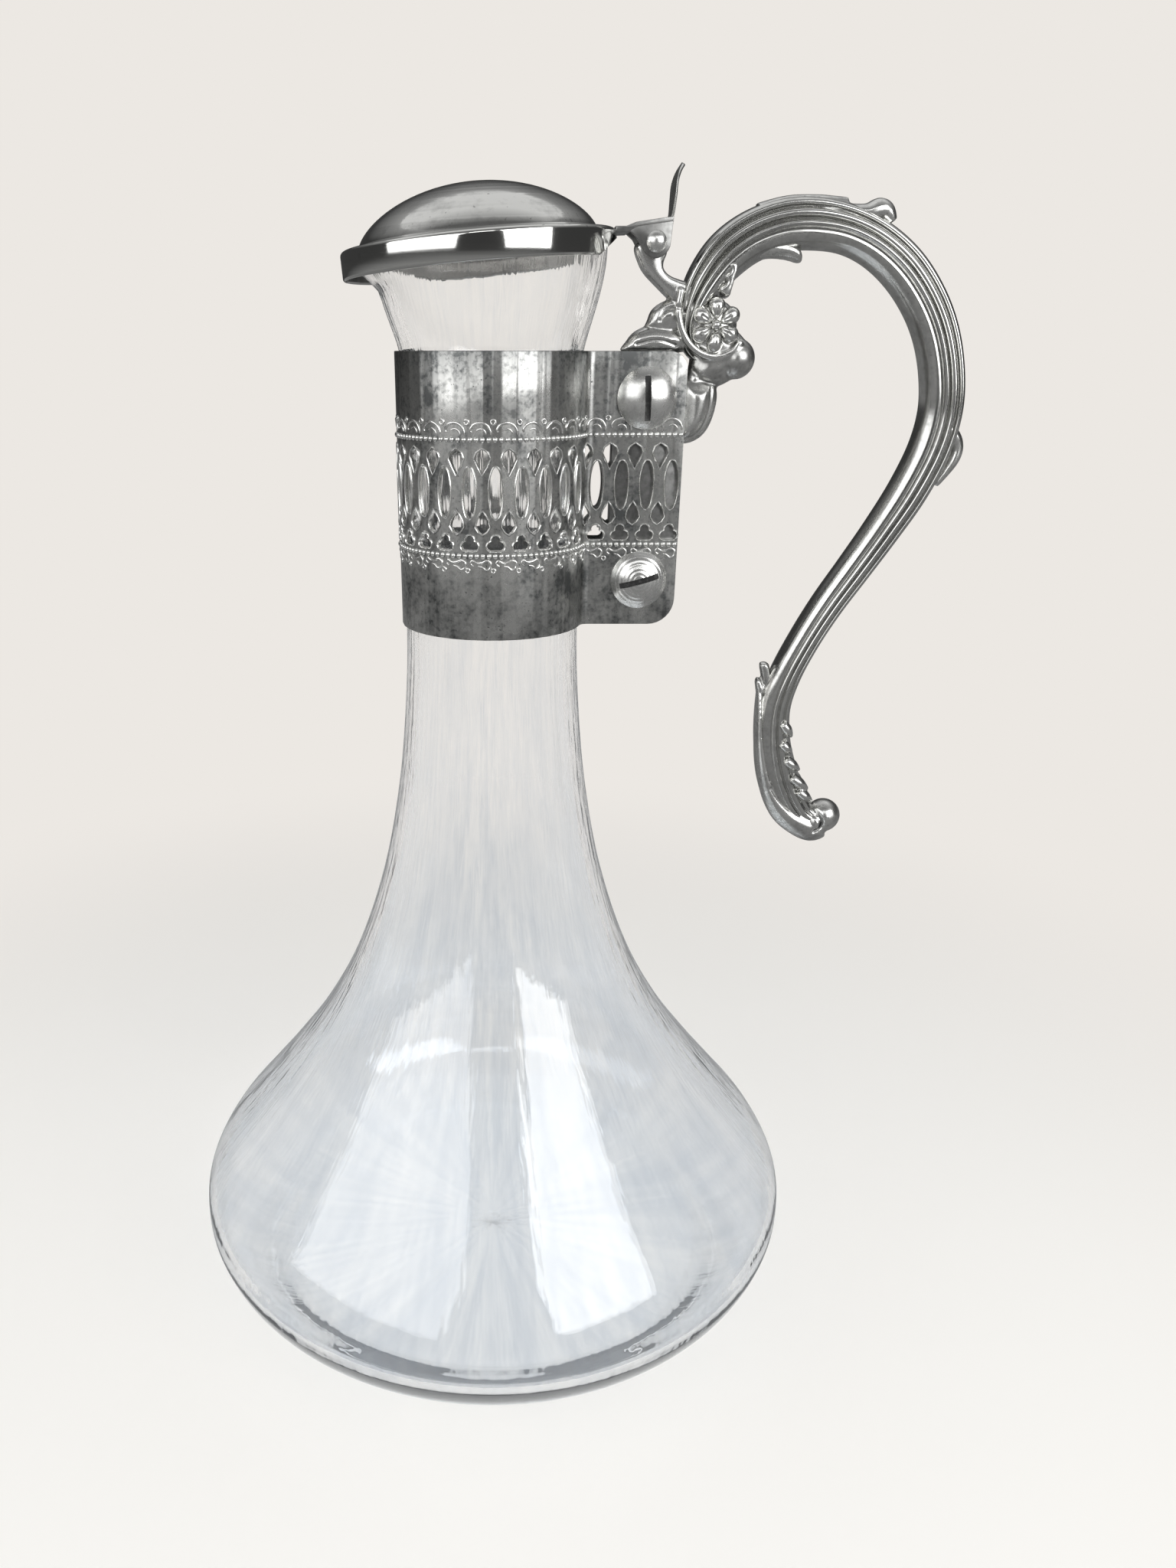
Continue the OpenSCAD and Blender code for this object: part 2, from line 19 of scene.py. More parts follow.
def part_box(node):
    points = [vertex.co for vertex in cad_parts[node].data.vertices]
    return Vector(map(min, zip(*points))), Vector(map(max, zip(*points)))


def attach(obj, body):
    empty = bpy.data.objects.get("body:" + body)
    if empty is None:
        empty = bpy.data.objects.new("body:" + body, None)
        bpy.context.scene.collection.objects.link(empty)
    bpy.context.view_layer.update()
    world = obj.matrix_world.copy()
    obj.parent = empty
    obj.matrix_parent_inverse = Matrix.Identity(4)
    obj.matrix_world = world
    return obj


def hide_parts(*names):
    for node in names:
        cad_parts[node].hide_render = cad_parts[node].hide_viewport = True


MM = 0.001
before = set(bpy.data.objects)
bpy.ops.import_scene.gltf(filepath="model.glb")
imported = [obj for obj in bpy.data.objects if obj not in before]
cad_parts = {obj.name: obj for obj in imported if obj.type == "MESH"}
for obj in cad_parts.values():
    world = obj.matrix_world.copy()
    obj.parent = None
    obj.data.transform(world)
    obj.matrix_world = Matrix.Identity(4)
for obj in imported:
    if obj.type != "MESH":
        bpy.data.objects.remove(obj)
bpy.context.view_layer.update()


def cad_corners(node):
    """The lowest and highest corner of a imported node, in millimetres."""
    low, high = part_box(node)
    return low / MM, high / MM


# %% [markdown]
# ## The camera
# The photograph was taken from close by with a wide lens, a little above the collar and looking down, so
# the foot of the jug looks narrow and its top looks large. A camera at the same place with the same lens
# gives the same shapes. The lens's axis isn't in the middle of the picture, as if it had been cropped, and
# the camera's shift puts it where it belongs.

# %% Camera
EYE = Vector((1.4, -278.7, 244))
LOOKING_DOWN = 23.66
PICTURE_HEIGHT = 2048
FOCAL_LENGTH = 1517  # in pixels of the photograph
CROP_RIGHT = 117.9  # how far the picture's middle lies right of the lens's axis, in pixels
CROP_UP = 104.2

camera_data = bpy.data.cameras.new("camera")
camera_data.sensor_width = 36
camera_data.lens = camera_data.sensor_width * FOCAL_LENGTH / PICTURE_HEIGHT
camera_data.shift_x = CROP_RIGHT / PICTURE_HEIGHT
camera_data.shift_y = CROP_UP / PICTURE_HEIGHT
camera_data.clip_start = 0.01
camera = bpy.data.objects.new("camera", camera_data)
camera.location = EYE * MM
camera.rotation_euler = (math.radians(90 - LOOKING_DOWN), 0, 0)
bpy.context.scene.collection.objects.link(camera)
bpy.context.scene.camera = camera
print("lens in mm:", round(camera_data.lens, 2))

# %% [markdown]
# ## Shared modelling helpers
# Most pieces here are either turned, like the glass and the lid, or drawn along a line, like the handle. A
# turned piece is half an outline that `spin` carries round an axis. A drawn piece is a ring that is
# extruded from station to station. Both start from a chain of vertices, and a smooth chain needs only a few
# stations, because a spline runs through them.


# %% Smooth lines and chains
def spline_point(a, b, c, d, t):
    """A point between b and c, at t from 0 to 1, on the smooth curve through all four."""
    return 0.5 * (2 * b + (c - a) * t + (2 * a - 5 * b + 4 * c - d) * t**2 + (3 * b - a - 3 * c + d) * t**3)


def smooth_line(stations, steps, closed=False):
    """The smooth curve through the stations, with so many steps between two of them."""
    points = [Vector(s) for s in stations]
    count = len(points)
    line = []
    for i in range(count if closed else count - 1):
        near = [(i + k) % count if closed else min(max(i + k, 0), count - 1) for k in (-1, 0, 1, 2)]
        line += [spline_point(*[points[n] for n in near], k / steps) for k in range(steps)]
    return line if closed else line + [points[-1]]


def sideways(line, i):
    """The direction across a line at its point i, seen in the plane of its first two coordinates."""
    run = line[min(i + 1, len(line) - 1)] - line[max(i - 1, 0)]
    return Vector((-run[1], run[0])).normalized()


def ease(t):
    """From 0 to 1 with level ends."""
    t = min(1, max(0, t))
    return t * t * (3 - 2 * t)


def chain(bm, points, closed=False):
    """Vertices at the points, with an edge from each to the next."""
    verts = [bm.verts.new(p) for p in points]
    pairs = list(zip(verts, verts[1:])) + ([(verts[-1], verts[0])] if closed else [])
    return verts, [bm.edges.new(pair) for pair in pairs]


# %% Turning and drawing
def turn(bm, outline, sides):
    """Spins an outline of (radius, height) pairs round the Z axis."""
    verts, edges = chain(bm, [(r, 0, z) for r, z in outline])
    bmesh.ops.spin(bm, geom=verts + edges, cent=(0, 0, 0), axis=(0, 0, 1), dvec=(0, 0, 0),
                   angle=math.tau, steps=sides, use_merge=True, use_duplicate=False)
    bmesh.ops.remove_doubles(bm, verts=bm.verts[:], dist=0.0005)


def draw_ring(bm, rings, ends="cap"):
    """Extrudes the first ring of points from station to station, and caps the ends or joins them."""
    verts, edges = chain(bm, rings[0], closed=True)
    first = edges
    for ring in rings[1:]:
        made = bmesh.ops.extrude_edge_only(bm, edges=edges)["geom"]
        fresh = {g for g in made if isinstance(g, bmesh.types.BMVert)}
        verts = [next(e.other_vert(v) for e in v.link_edges if e.other_vert(v) in fresh) for v in verts]
        for vert, place in zip(verts, ring):
            vert.co = place
        edges = [bm.edges.get(pair) for pair in zip(verts, verts[1:] + verts[:1])]
    if ends == "cap":
        bmesh.ops.contextual_create(bm, geom=first)
        bmesh.ops.contextual_create(bm, geom=edges)
    else:
        bmesh.ops.bridge_loops(bm, edges=first + edges)


# %% Meshes and objects
def into_mesh(name, bm):
    """The mesh of a bmesh, which is then freed."""
    mesh = bpy.data.meshes.new(name)
    bm.to_mesh(mesh)
    bm.free()
    return mesh


def add_object(name, bm):
    """An object made of a bmesh, linked into the scene."""
    piece = bpy.data.objects.new(name, into_mesh(name, bm))
    bpy.context.scene.collection.objects.link(piece)
    return piece


def small_mesh(build):
    """A mesh made by one function, to be stamped many times."""
    bm = bmesh.new()
    build(bm)
    return into_mesh("stamp", bm)


def stamp(bm, mesh, places):
    """Adds a copy of a small mesh at each place. A place is a vector or a matrix."""
    for place in places:
        matrix = place if isinstance(place, Matrix) else Matrix.Translation(place)
        before = len(bm.verts)
        bm.from_mesh(mesh)
        bm.verts.ensure_lookup_table()
        bmesh.ops.transform(bm, matrix=matrix, verts=bm.verts[before:])


# %% Changes to a whole mesh
def move_all(bm, matrix):
    bmesh.ops.transform(bm, matrix=matrix, verts=bm.verts[:])


def relax(bm, times):
    """Moves every point halfway to the middle of its neighbours, again and again."""
    for _ in range(times):
        bmesh.ops.smooth_vert(bm, verts=bm.verts[:], factor=0.5,
                              use_axis_x=True, use_axis_y=True, use_axis_z=True)


def slice_all(bm, at, out, clear=False):
    """Cuts every face along a plane, and can take away the side that `out` points to."""
    everything = bm.verts[:] + bm.edges[:] + bm.faces[:]
    return bmesh.ops.bisect_plane(bm, geom=everything, dist=0.0001, plane_co=at, plane_no=out,
                                  clear_outer=clear)


def round_edges(bm, edges, radius):
    bmesh.ops.bevel(bm, geom=edges, offset=radius, segments=2, profile=0.5, affect="EDGES", material=-1)


# %% [markdown]
# A finished piece is one object at the origin with its place in its mesh. Its faces are smooth, apart from
# edges that turn sharply. Its points also carry a value called hollow. To find it, a copy of the mesh is
# smoothed many times: ridges sink and grooves rise, and how far each point moved says how deep in a groove
# it lies. The metal finishes darken where hollow is high and polish where it is low, as dirt and rubbing
# hands do.


# %% Finish a piece
def mark_hollows(bm, passes, depth):
    """Gives each point 0 on a ridge, 0.5 on a flat and 1 in a groove that is about `depth` deep."""
    layer = bm.verts.layers.float.new("hollow")
    bm.normal_update()
    places = [v.co.copy() for v in bm.verts]
    normals = [v.normal.copy() for v in bm.verts]
    relax(bm, passes)
    for vert, place, normal in zip(bm.verts, places, normals):
        rise = (vert.co - place).dot(normal)
        vert[layer] = min(1, max(0, 0.5 + 0.5 * rise / depth))
        vert.co = place


def finish_piece(name, bm, body, material, sharp=35, hollows=(6, 0.3), dirt_and_shade=None):
    """Makes the object from a bmesh in millimetres, and lets it ride on its body.

    A least value of hollow can be given for places that are darker though they aren't a groove of the mesh:
    dirt in some places, painted shade in others.
    """
    bmesh.ops.recalc_face_normals(bm, faces=bm.faces[:])
    mark_hollows(bm, *hollows)
    if dirt_and_shade:
        layer = bm.verts.layers.float["hollow"]
        for vert in bm.verts:
            vert[layer] = max(vert[layer], dirt_and_shade(vert.co))
    bmesh.ops.scale(bm, vec=(MM, MM, MM), verts=bm.verts[:])
    for face in bm.faces:
        face.smooth = True
    for edge in bm.edges:
        edge.smooth = edge.calc_face_angle(0) < math.radians(sharp)
    piece = add_object(name, bm)
    piece.data.materials.append(material)
    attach(piece, body)
    print(name, "has", len(piece.data.polygons), "faces")
    return piece


# %% [markdown]
# ## Finishes
# Silver plate is nearly white when it is fresh. With age it turns grey in patches, gathers dark specks, and
# keeps its shine on whatever a hand or a cloth touches. One shader node group works all of that out from a
# position and the hollow value, and puts out a colour, a roughness and a height. The collar, the castings,
# the lid and the screws all use it with their own values, and so do the raised lines of the collar, which
# rubbing keeps bright.


# %% Small node helpers
def feed(tree, node, inputs):
    """Links each named input to a socket, or sets its own value."""
    for key, value in inputs.items():
        if isinstance(value, bpy.types.NodeSocket):
            tree.links.new(value, node.inputs[key])
        else:
            node.inputs[key].default_value = value


def add(tree, kind, inputs=(), **settings):
    """Adds a node, sets its properties, then links or sets its inputs."""
    node = tree.nodes.new(kind)
    for key, value in settings.items():
        setattr(node, key, value)
    feed(tree, node, dict(inputs))
    return node


def maths(tree, operation, a, b, clamp=False):
    return add(tree, "ShaderNodeMath", {0: a, 1: b}, operation=operation, use_clamp=clamp).outputs[0]


def remap(tree, value, low, high, to_low=0.0, to_high=1.0):
    """A value from low to high becomes one from to_low to to_high, and stays between them."""
    return add(tree, "ShaderNodeMapRange", {0: value, 1: low, 2: high, 3: to_low, 4: to_high}).outputs[0]


def blend(tree, factor, a, b):
    """A mix of two colours. The Mix node's colour sockets are the inputs 6 and 7 and the output 2."""
    return add(tree, "ShaderNodeMix", {0: factor, 6: a, 7: b}, data_type="RGBA").outputs[2]


def noise(tree, vector, scale, detail, roughness):
    return add(tree, "ShaderNodeTexNoise",
               {"Vector": vector, "Scale": scale, "Detail": detail, "Roughness": roughness}).outputs["Fac"]


def stretched(tree, vector, scale):
    return add(tree, "ShaderNodeVectorMath", {0: vector, 1: scale}, operation="MULTIPLY").outputs[0]


def new_group(name, inputs, outputs):
    """An empty node group with named sockets. inputs and outputs are (name, kind, default) triples."""
    group = bpy.data.node_groups.new(name, "ShaderNodeTree")
    for way, sockets in (("INPUT", inputs), ("OUTPUT", outputs)):
        for label, kind, default in sockets:
            socket = group.interface.new_socket(label, in_out=way, socket_type="NodeSocket" + kind)
            if default is not None:
                socket.default_value = default
    return group, group.nodes.new("NodeGroupInput").outputs, group.nodes.new("NodeGroupOutput").inputs


def use_group(tree, group, inputs):
    return add(tree, "ShaderNodeGroup", inputs, node_tree=group).outputs


def object_place(tree):
    return tree.nodes.new("ShaderNodeTexCoord").outputs["Object"]


def new_material(name):
    """An empty finish: the material, its nodes and its Principled shader."""
    material = bpy.data.materials.new(name)
    material.use_nodes = True
    tree = material.node_tree
    return material, tree, tree.nodes["Principled BSDF"]


def show(tree, shader):
    """Makes the surface show this shader's output."""
    tree.links.new(shader, tree.nodes["Material Output"].inputs["Surface"])


# %% The worn plate group
def make_worn_plate():
    group, given, out = new_group(
        "worn plate",
        [("Position", "Vector", None), ("Hollow", "Float", 0.5), ("Patch size", "Float", 60.0),
         ("Patches", "Float", 0.5), ("Specks", "Float", 0.5), ("Dirt", "Float", 0.6),
         ("Grain", "Vector", None), ("Bands", "Vector", None), ("Painted bands and bump", "Float", 0.0),
         ("Bright", "Color", (0.8, 0.79, 0.76, 1)), ("Dull", "Color", (0.3, 0.3, 0.29, 1)),
         ("Polished", "Float", 0.12), ("Matt", "Float", 0.45)],
        [("Color", "Color", None), ("Roughness", "Float", None), ("Height", "Float", None)])
    clouds = noise(group, given["Position"], given["Patch size"], 6.0, 0.62)
    patches = maths(group, "MULTIPLY", remap(group, clouds, 0.42, 0.66), given["Patches"])
    fine = noise(group, stretched(group, given["Position"], (9.0, 9.0, 9.0)), given["Patch size"], 4.0, 0.6)
    mottling = maths(group, "MULTIPLY", given["Patches"], 0.5)
    mottled = maths(group, "MULTIPLY", remap(group, fine, 0.45, 0.7), mottling)
    closer = stretched(group, given["Position"], (14.0, 14.0, 14.0))
    dots = noise(group, closer, given["Patch size"], 1.0, 0.4)
    specks = maths(group, "MULTIPLY", remap(group, dots, 0.7, 0.76), given["Specks"])
    # Darker where hollow is high: tarnish in the grooves, and painted shade where a piece raises its hollow
    # value.
    groove = maths(group, "MULTIPLY", remap(group, given["Hollow"], 0.54, 0.95), given["Dirt"])
    grain = noise(group, given["Grain"], 1.0, 2.0, 0.7)
    tarnish = maths(group, "MAXIMUM", maths(group, "MAXIMUM", patches, specks), groove)
    tarnish = maths(group, "ADD", tarnish, mottled, clamp=True)
    rubbed = remap(group, given["Hollow"], 0.46, 0.15)
    tarnish = maths(group, "SUBTRACT", tarnish, maths(group, "MULTIPLY", rubbed, 0.45), clamp=True)
    streaks = remap(group, grain, 0.3, 0.7, -0.09, 0.09)
    # Painted reflection: bands lighten and darken the colour in stripes; they also go into the height as a
    # bump.
    bands = remap(group, noise(group, given["Bands"], 1.0, 1.0, 0.4), 0.45, 0.55)
    painted_bands = maths(group, "MULTIPLY", maths(group, "SUBTRACT", bands, 0.5), given["Painted bands and bump"])
    shade = maths(group, "ADD", maths(group, "ADD", tarnish, streaks), painted_bands, clamp=True)
    group.links.new(blend(group, shade, given["Bright"], given["Dull"]), out["Color"])
    span = maths(group, "SUBTRACT", given["Matt"], given["Polished"])
    rough = maths(group, "ADD", given["Polished"], maths(group, "MULTIPLY", span, shade))
    group.links.new(rough, out["Roughness"])
    texture = maths(group, "ADD", maths(group, "MULTIPLY", grain, 0.6), maths(group, "MULTIPLY", fine, 0.4))
    facets = maths(group, "MULTIPLY", bands, maths(group, "MULTIPLY", given["Painted bands and bump"], 12.0))
    group.links.new(maths(group, "ADD", texture, facets), out["Height"])
    return group


WORN_PLATE = make_worn_plate()


def spun_place(tree, place, x):
    """Distance from the upright line at x, and height: the same all the way round a turned piece."""
    centred = add(tree, "ShaderNodeVectorMath", {0: place, 1: (x * MM, 0, 0)}, operation="SUBTRACT")
    level = stretched(tree, centred.outputs[0], (1, 1, 0))
    radius = add(tree, "ShaderNodeVectorMath", {0: level}, operation="LENGTH").outputs["Value"]
    height = add(tree, "ShaderNodeSeparateXYZ", {0: place}).outputs["Z"]
    return add(tree, "ShaderNodeCombineXYZ", {"X": radius, "Z": height}).outputs[0]


def plated(name, grain, bump, bands=(1, 1, 1), spun_about=None, **values):
    """A metal finish from the worn plate group.

    grain stretches the brushing, and bump is its depth in metres. spun_about is the x of a lathe's axis: the
    brushing and the bands then run round it.
    """
    material, tree, shader = new_material(name)
    shader.inputs["Metallic"].default_value = 1.0
    place = object_place(tree)
    hollow = add(tree, "ShaderNodeAttribute", attribute_name="hollow").outputs["Fac"]
    along = place if spun_about is None else spun_place(tree, place, spun_about)
    worn = use_group(tree, WORN_PLATE, {
        "Position": place, "Hollow": hollow, "Grain": stretched(tree, along, grain),
        "Bands": stretched(tree, along, bands), **values})
    tree.links.new(worn["Color"], shader.inputs["Base Color"])
    tree.links.new(worn["Roughness"], shader.inputs["Roughness"])
    bumped = add(tree, "ShaderNodeBump", {"Height": worn["Height"], "Strength": 1.0, "Distance": bump})
    tree.links.new(bumped.outputs[0], shader.inputs["Normal"])
    return material


# %% [markdown]
# The collar is sheet metal that was brushed upright, so its grain is stretched along Z. The castings were
# polished by hand and have almost no grain, but much dirt in their grooves. The lid was spun on a lathe and
# polished, and the screws are brighter than the rest.

# %% Metal finishes
LID_X = -2.4  # where the lid's axis stands

# The collar's banding paints upright stripes of lighter and darker colour: painted reflections of its flats.
collar_metal = plated("collar plate", (900, 900, 25), 0.000012, (330, 330, 6), **{
    "Patch size": 110.0, "Patches": 0.85, "Specks": 0.9, "Dirt": 0.85, "Painted bands and bump": 0.24, "Polished": 0.25,
    "Matt": 0.42, "Bright": (0.66, 0.66, 0.64, 1), "Dull": (0.13, 0.135, 0.135, 1)})
relief_metal = plated("relief plate", (700, 700, 700), 0.000004, **{
    "Patch size": 110.0, "Patches": 0.3, "Specks": 0.3, "Dirt": 0.8, "Polished": 0.22, "Matt": 0.4,
    "Bright": (0.9, 0.9, 0.88, 1), "Dull": (0.14, 0.14, 0.14, 1)})
cast_metal = plated("cast plate", (500, 500, 500), 0.000005, **{
    "Patch size": 90.0, "Patches": 0.25, "Specks": 0.3, "Dirt": 1.0, "Polished": 0.16, "Matt": 0.42,
    "Bright": (0.66, 0.66, 0.64, 1), "Dull": (0.1, 0.1, 0.1, 1)})
leaf_metal = plated("leaf plate", (500, 500, 500), 0.000006, **{
    "Patch size": 100.0, "Patches": 0.45, "Specks": 0.4, "Dirt": 1.0, "Polished": 0.24, "Matt": 0.45,
    "Bright": (0.76, 0.76, 0.74, 1), "Dull": (0.1, 0.1, 0.1, 1)})
# The lid's banding paints rings of lighter and darker colour: painted reflections of the room.
lid_metal = plated("lid plate", (2600, 1, 900), 0.000005, (420, 1, 120), spun_about=LID_X, **{
    "Patch size": 60.0, "Patches": 0.5, "Specks": 0.6, "Dirt": 0.8, "Painted bands and bump": 0.26, "Polished": 0.08,
    "Matt": 0.32, "Bright": (0.68, 0.68, 0.66, 1), "Dull": (0.22, 0.22, 0.215, 1)})
bright_metal = plated("bright plate", (900, 900, 900), 0.000004, **{
    "Patch size": 150.0, "Patches": 0.22, "Specks": 0.4, "Dirt": 1.0, "Polished": 0.25, "Matt": 0.5,
    "Bright": (0.88, 0.88, 0.86, 1), "Dull": (0.07, 0.07, 0.07, 1)})

# %% [markdown]
# The glass is clear, with a cool tint. The tint deepens from the neck down into the body, and that deepening
# is painted shade, which darkens the lower glass. Drawing it out left streaks that run up the neck, so the
# bump is a noise that changes slowly up the glass and quickly round the axis, with broader smears over it
# that make reflections wavy. The same streaks and finer ones vary the tint, as limescale does. Limescale also
# leaves a thin haze that shows where the wall is seen edge on, which is what the sheen is for. A path tracer
# darkens whatever stands behind glass too much, because it can't follow light through the glass to the floor.
# So rays from the lamps meet a plain clear film here, which only dims them.


# %% Glass finish
CLEAR_TINT = (0.998, 1, 1, 1)
DEEP_TINT_AND_SHADE = (0.82, 0.85, 0.89, 1)
LAMP_FILM = (0.925, 0.93, 0.935, 1)
HAZE_TINT = (0.9, 0.95, 1, 1)
CLEAR_FROM, SHADED_FROM = 0.235, 0.07  # heights in metres
STREAK_DEPTH = 0.00016  # in metres too


def make_glass():
    material, tree, shader = new_material("blown glass")
    feed(tree, shader, {"Transmission Weight": 1.0, "IOR": 1.5, "Sheen Weight": 0.3, "Sheen Roughness": 0.45,
                        "Sheen Tint": HAZE_TINT})
    place = object_place(tree)
    level = stretched(tree, place, (1, 1, 0))
    around = add(tree, "ShaderNodeVectorMath", {0: level}, operation="NORMALIZE").outputs[0]
    slowly_up = stretched(tree, place, (0, 0, 3.0))
    upright = add(tree, "ShaderNodeVectorMath", {0: around, 1: slowly_up}, operation="ADD").outputs[0]
    streaks = noise(tree, upright, 9.0, 3.0, 0.6)
    scale_marks = noise(tree, upright, 26.0, 5.0, 0.7)
    smears = noise(tree, place, 38.0, 4.0, 0.6)
    height_up = add(tree, "ShaderNodeSeparateXYZ", {0: place}).outputs["Z"]
    # Painted shade: the tint deepens from the neck down into the body, which darkens the lower glass.
    depth = remap(tree, height_up, CLEAR_FROM, SHADED_FROM, 0.0, 0.65)
    marks = maths(tree, "MULTIPLY", maths(tree, "ADD", scale_marks, streaks), 0.5)
    depth = maths(tree, "ADD", depth, remap(tree, marks, 0.38, 0.62, -0.4, 0.4), clamp=True)
    tree.links.new(blend(tree, depth, CLEAR_TINT, DEEP_TINT_AND_SHADE), shader.inputs["Base Color"])
    height = maths(tree, "ADD", maths(tree, "MULTIPLY", streaks, 0.8), maths(tree, "MULTIPLY", smears, 0.7))
    bumped = add(tree, "ShaderNodeBump", {"Height": height, "Strength": 1.0, "Distance": STREAK_DEPTH})
    tree.links.new(bumped.outputs[0], shader.inputs["Normal"])
    tree.links.new(remap(tree, smears, 0.5, 0.85, 0.0, 0.08), shader.inputs["Roughness"])
    film = add(tree, "ShaderNodeBsdfTransparent", {"Color": LAMP_FILM})
    from_lamp = tree.nodes.new("ShaderNodeLightPath").outputs["Is Shadow Ray"]
    mix = add(tree, "ShaderNodeMixShader", {0: from_lamp, 1: shader.outputs[0], 2: film.outputs[0]})
    show(tree, mix.outputs[0])
    return material


glass = make_glass()

# %% [markdown]
# ## The glass
# The body and the neck are one blown piece. Its outline is turned as a closed wall: up the outside, over a
# round rim and down the inside to a thick floor. The mouth isn't round, because the glassmaker pulled a lip
# out of it while it was soft, and its rim leans with the lid. So the turned mouth is then pushed: out at
# the side away from the handle, and up along the slope of the lid.

# %% Glass sizes
BASE_R = 56
BELLY_R = 81.5
BELLY_Z = 27
NECK_R = 20.2
WALL = 2.8
FLOOR = 7
FLARE_Z = 244.5
FLARE_OUT = 4.5
LIP_OUT = 5.2
LIP_FROM = 0.6  # the share of the flare's height from which the lip is pulled out
LIP_NARROW = 6  # a higher power makes the lip narrower
FLARE_STEPS = 10
FLARE_BEND = 1.25  # a higher power lets the neck run on straight for longer
INSIDE_FROM = (80, BELLY_Z - 8)  # the wall is one thickness from this radius and height up
LID_Z = 260.5
LID_TILT = math.radians(4.6)
SKIRT_R = 29.3
SKIRT_H = 5.5
SHEET = 1.0
RIM_GAP = 0.3
RIM_Z = LID_Z + SKIRT_H - SHEET - RIM_GAP

outside_stations = [
    (BASE_R, 0), (BASE_R + 4.2, 0.9), (BASE_R + 8.7, 3.4), (71.8, 9.2), (77.9, 16), (80.9, 22),
    (BELLY_R, BELLY_Z), (80.5, 32.5), (75.9, 40.5), (68.6, 49.5), (58.9, 61.5), (47.2, 77.5), (36.6, 97),
    (28.3, 121), (23.3, 146), (20.9, 170), (NECK_R + 0.1, 187), (NECK_R, 205), (NECK_R, FLARE_Z)]
floor_stations = [(0, FLOOR), (54, FLOOR), (62, FLOOR + 0.9), (69, FLOOR + 4.2), (74.4, FLOOR + 9.4)]


# %% Turn the glass
def inner_side(line, thickness):
    """The line moved one wall thickness to its left."""
    moved = []
    for before, point, after in zip(line[:1] + line, line, line[1:] + line[-1:]):
        along = (after - before).normalized()
        moved.append(point + thickness * Vector((-along[1], along[0])))
    return moved


def push_mouth(verts):
    """Pulls out the pouring lip and tilts the rim to lie along the lid."""
    for vert in verts:
        share = (vert.co.z - FLARE_Z) / (RIM_Z - FLARE_Z)
        if share <= 0:
            continue
        level = Vector((vert.co.x, vert.co.y, 0))
        towards_lip = max(0, -level.x / level.length) ** LIP_NARROW
        level += level.normalized() * LIP_OUT * ease((share - LIP_FROM) / (1 - LIP_FROM)) * towards_lip
        vert.co = level + Vector((0, 0, vert.co.z + share * (level.x - LID_X) * math.tan(LID_TILT)))


def flare(share):
    """A point of the outside, from the neck at 0 to the rim at 1."""
    radius = NECK_R + FLARE_OUT * math.sin(math.pi / 2 * share) ** FLARE_BEND
    return Vector((radius, FLARE_Z + share * (RIM_Z - WALL / 2 - FLARE_Z)))


def make_glass_jug():
    outside = smooth_line(outside_stations, 6) + [flare(k / FLARE_STEPS) for k in range(1, FLARE_STEPS + 1)]
    wall_start = next(i for i, (r, z) in enumerate(outside) if r > INSIDE_FROM[0] and z > INSIDE_FROM[1])
    inside = inner_side(outside, WALL)[wall_start:]
    rim_middle = (outside[-1] + inside[-1]) / 2
    turns = [math.pi * k / 8 for k in range(1, 8)]
    rim = [rim_middle + WALL / 2 * Vector((math.cos(a), math.sin(a))) for a in turns]
    floor = smooth_line(floor_stations + [tuple(inside[0])], 4)[:-1]
    outline = [Vector((0, 0))] + outside + rim + inside[::-1] + floor[::-1]
    bm = bmesh.new()
    turn(bm, outline, sides=192)
    push_mouth(bm.verts)
    jug = finish_piece("blown_glass", bm, "jug", glass, sharp=50)
    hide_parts("glass_body", "glass_neck")


make_glass_jug()

# %% [markdown]
# ## The collar
# The collar is one strip of sheet metal. It starts as a flat ear at the front, bends onto the neck, runs
# round it and ends in the back ear, and the two screws pull the ears together. Its pattern was stamped
# while it was flat, and the same way is used here: the strip is modelled flat, with u along it, z up it and
# h out of its face, and is wrapped round the neck at the end.

# %% Collar sizes
NECK_GAP = 0.2
COLLAR_IN = NECK_R + NECK_GAP
COLLAR_T = 0.9
COLLAR_OUT = COLLAR_IN + COLLAR_T
collar_low, collar_high = cad_corners("neck_collar")
EAR_X = collar_high.x
TANG_HALF = 2.5
EAR_HALF = TANG_HALF + COLLAR_T
BEND_R = 2.5
BEND_OUT = BEND_R - COLLAR_T / 2  # the radius that the outer face follows in the hollow of the bend
BEND_Y = TANG_HALF + COLLAR_T / 2 + BEND_R
BEND_X = math.sqrt((COLLAR_IN + COLLAR_T / 2 + BEND_R) ** 2 - BEND_Y**2)
BEND_ANGLE = math.atan2(BEND_Y, BEND_X)

EAR_LENGTH = EAR_X - BEND_X
BEND_LENGTH = BEND_OUT * (math.pi / 2 - BEND_ANGLE)
BAND_LENGTH = COLLAR_OUT * (math.tau - 2 * BEND_ANGLE)
STRIP_LENGTH = 2 * EAR_LENGTH + 2 * BEND_LENGTH + BAND_LENGTH
print("strip length in mm:", round(STRIP_LENGTH, 1))


# %% Wrap the strip round the neck
FLATS = 33
FLAT_ANGLE = (math.tau - 2 * BEND_ANGLE) / FLATS


def flat_radius(angle):
    """The sheet was bent over an edge again and again, so it goes round the neck in narrow flats."""
    from_middle = angle % FLAT_ANGLE - FLAT_ANGLE / 2
    return COLLAR_OUT * math.cos(FLAT_ANGLE / 2) / math.cos(from_middle)


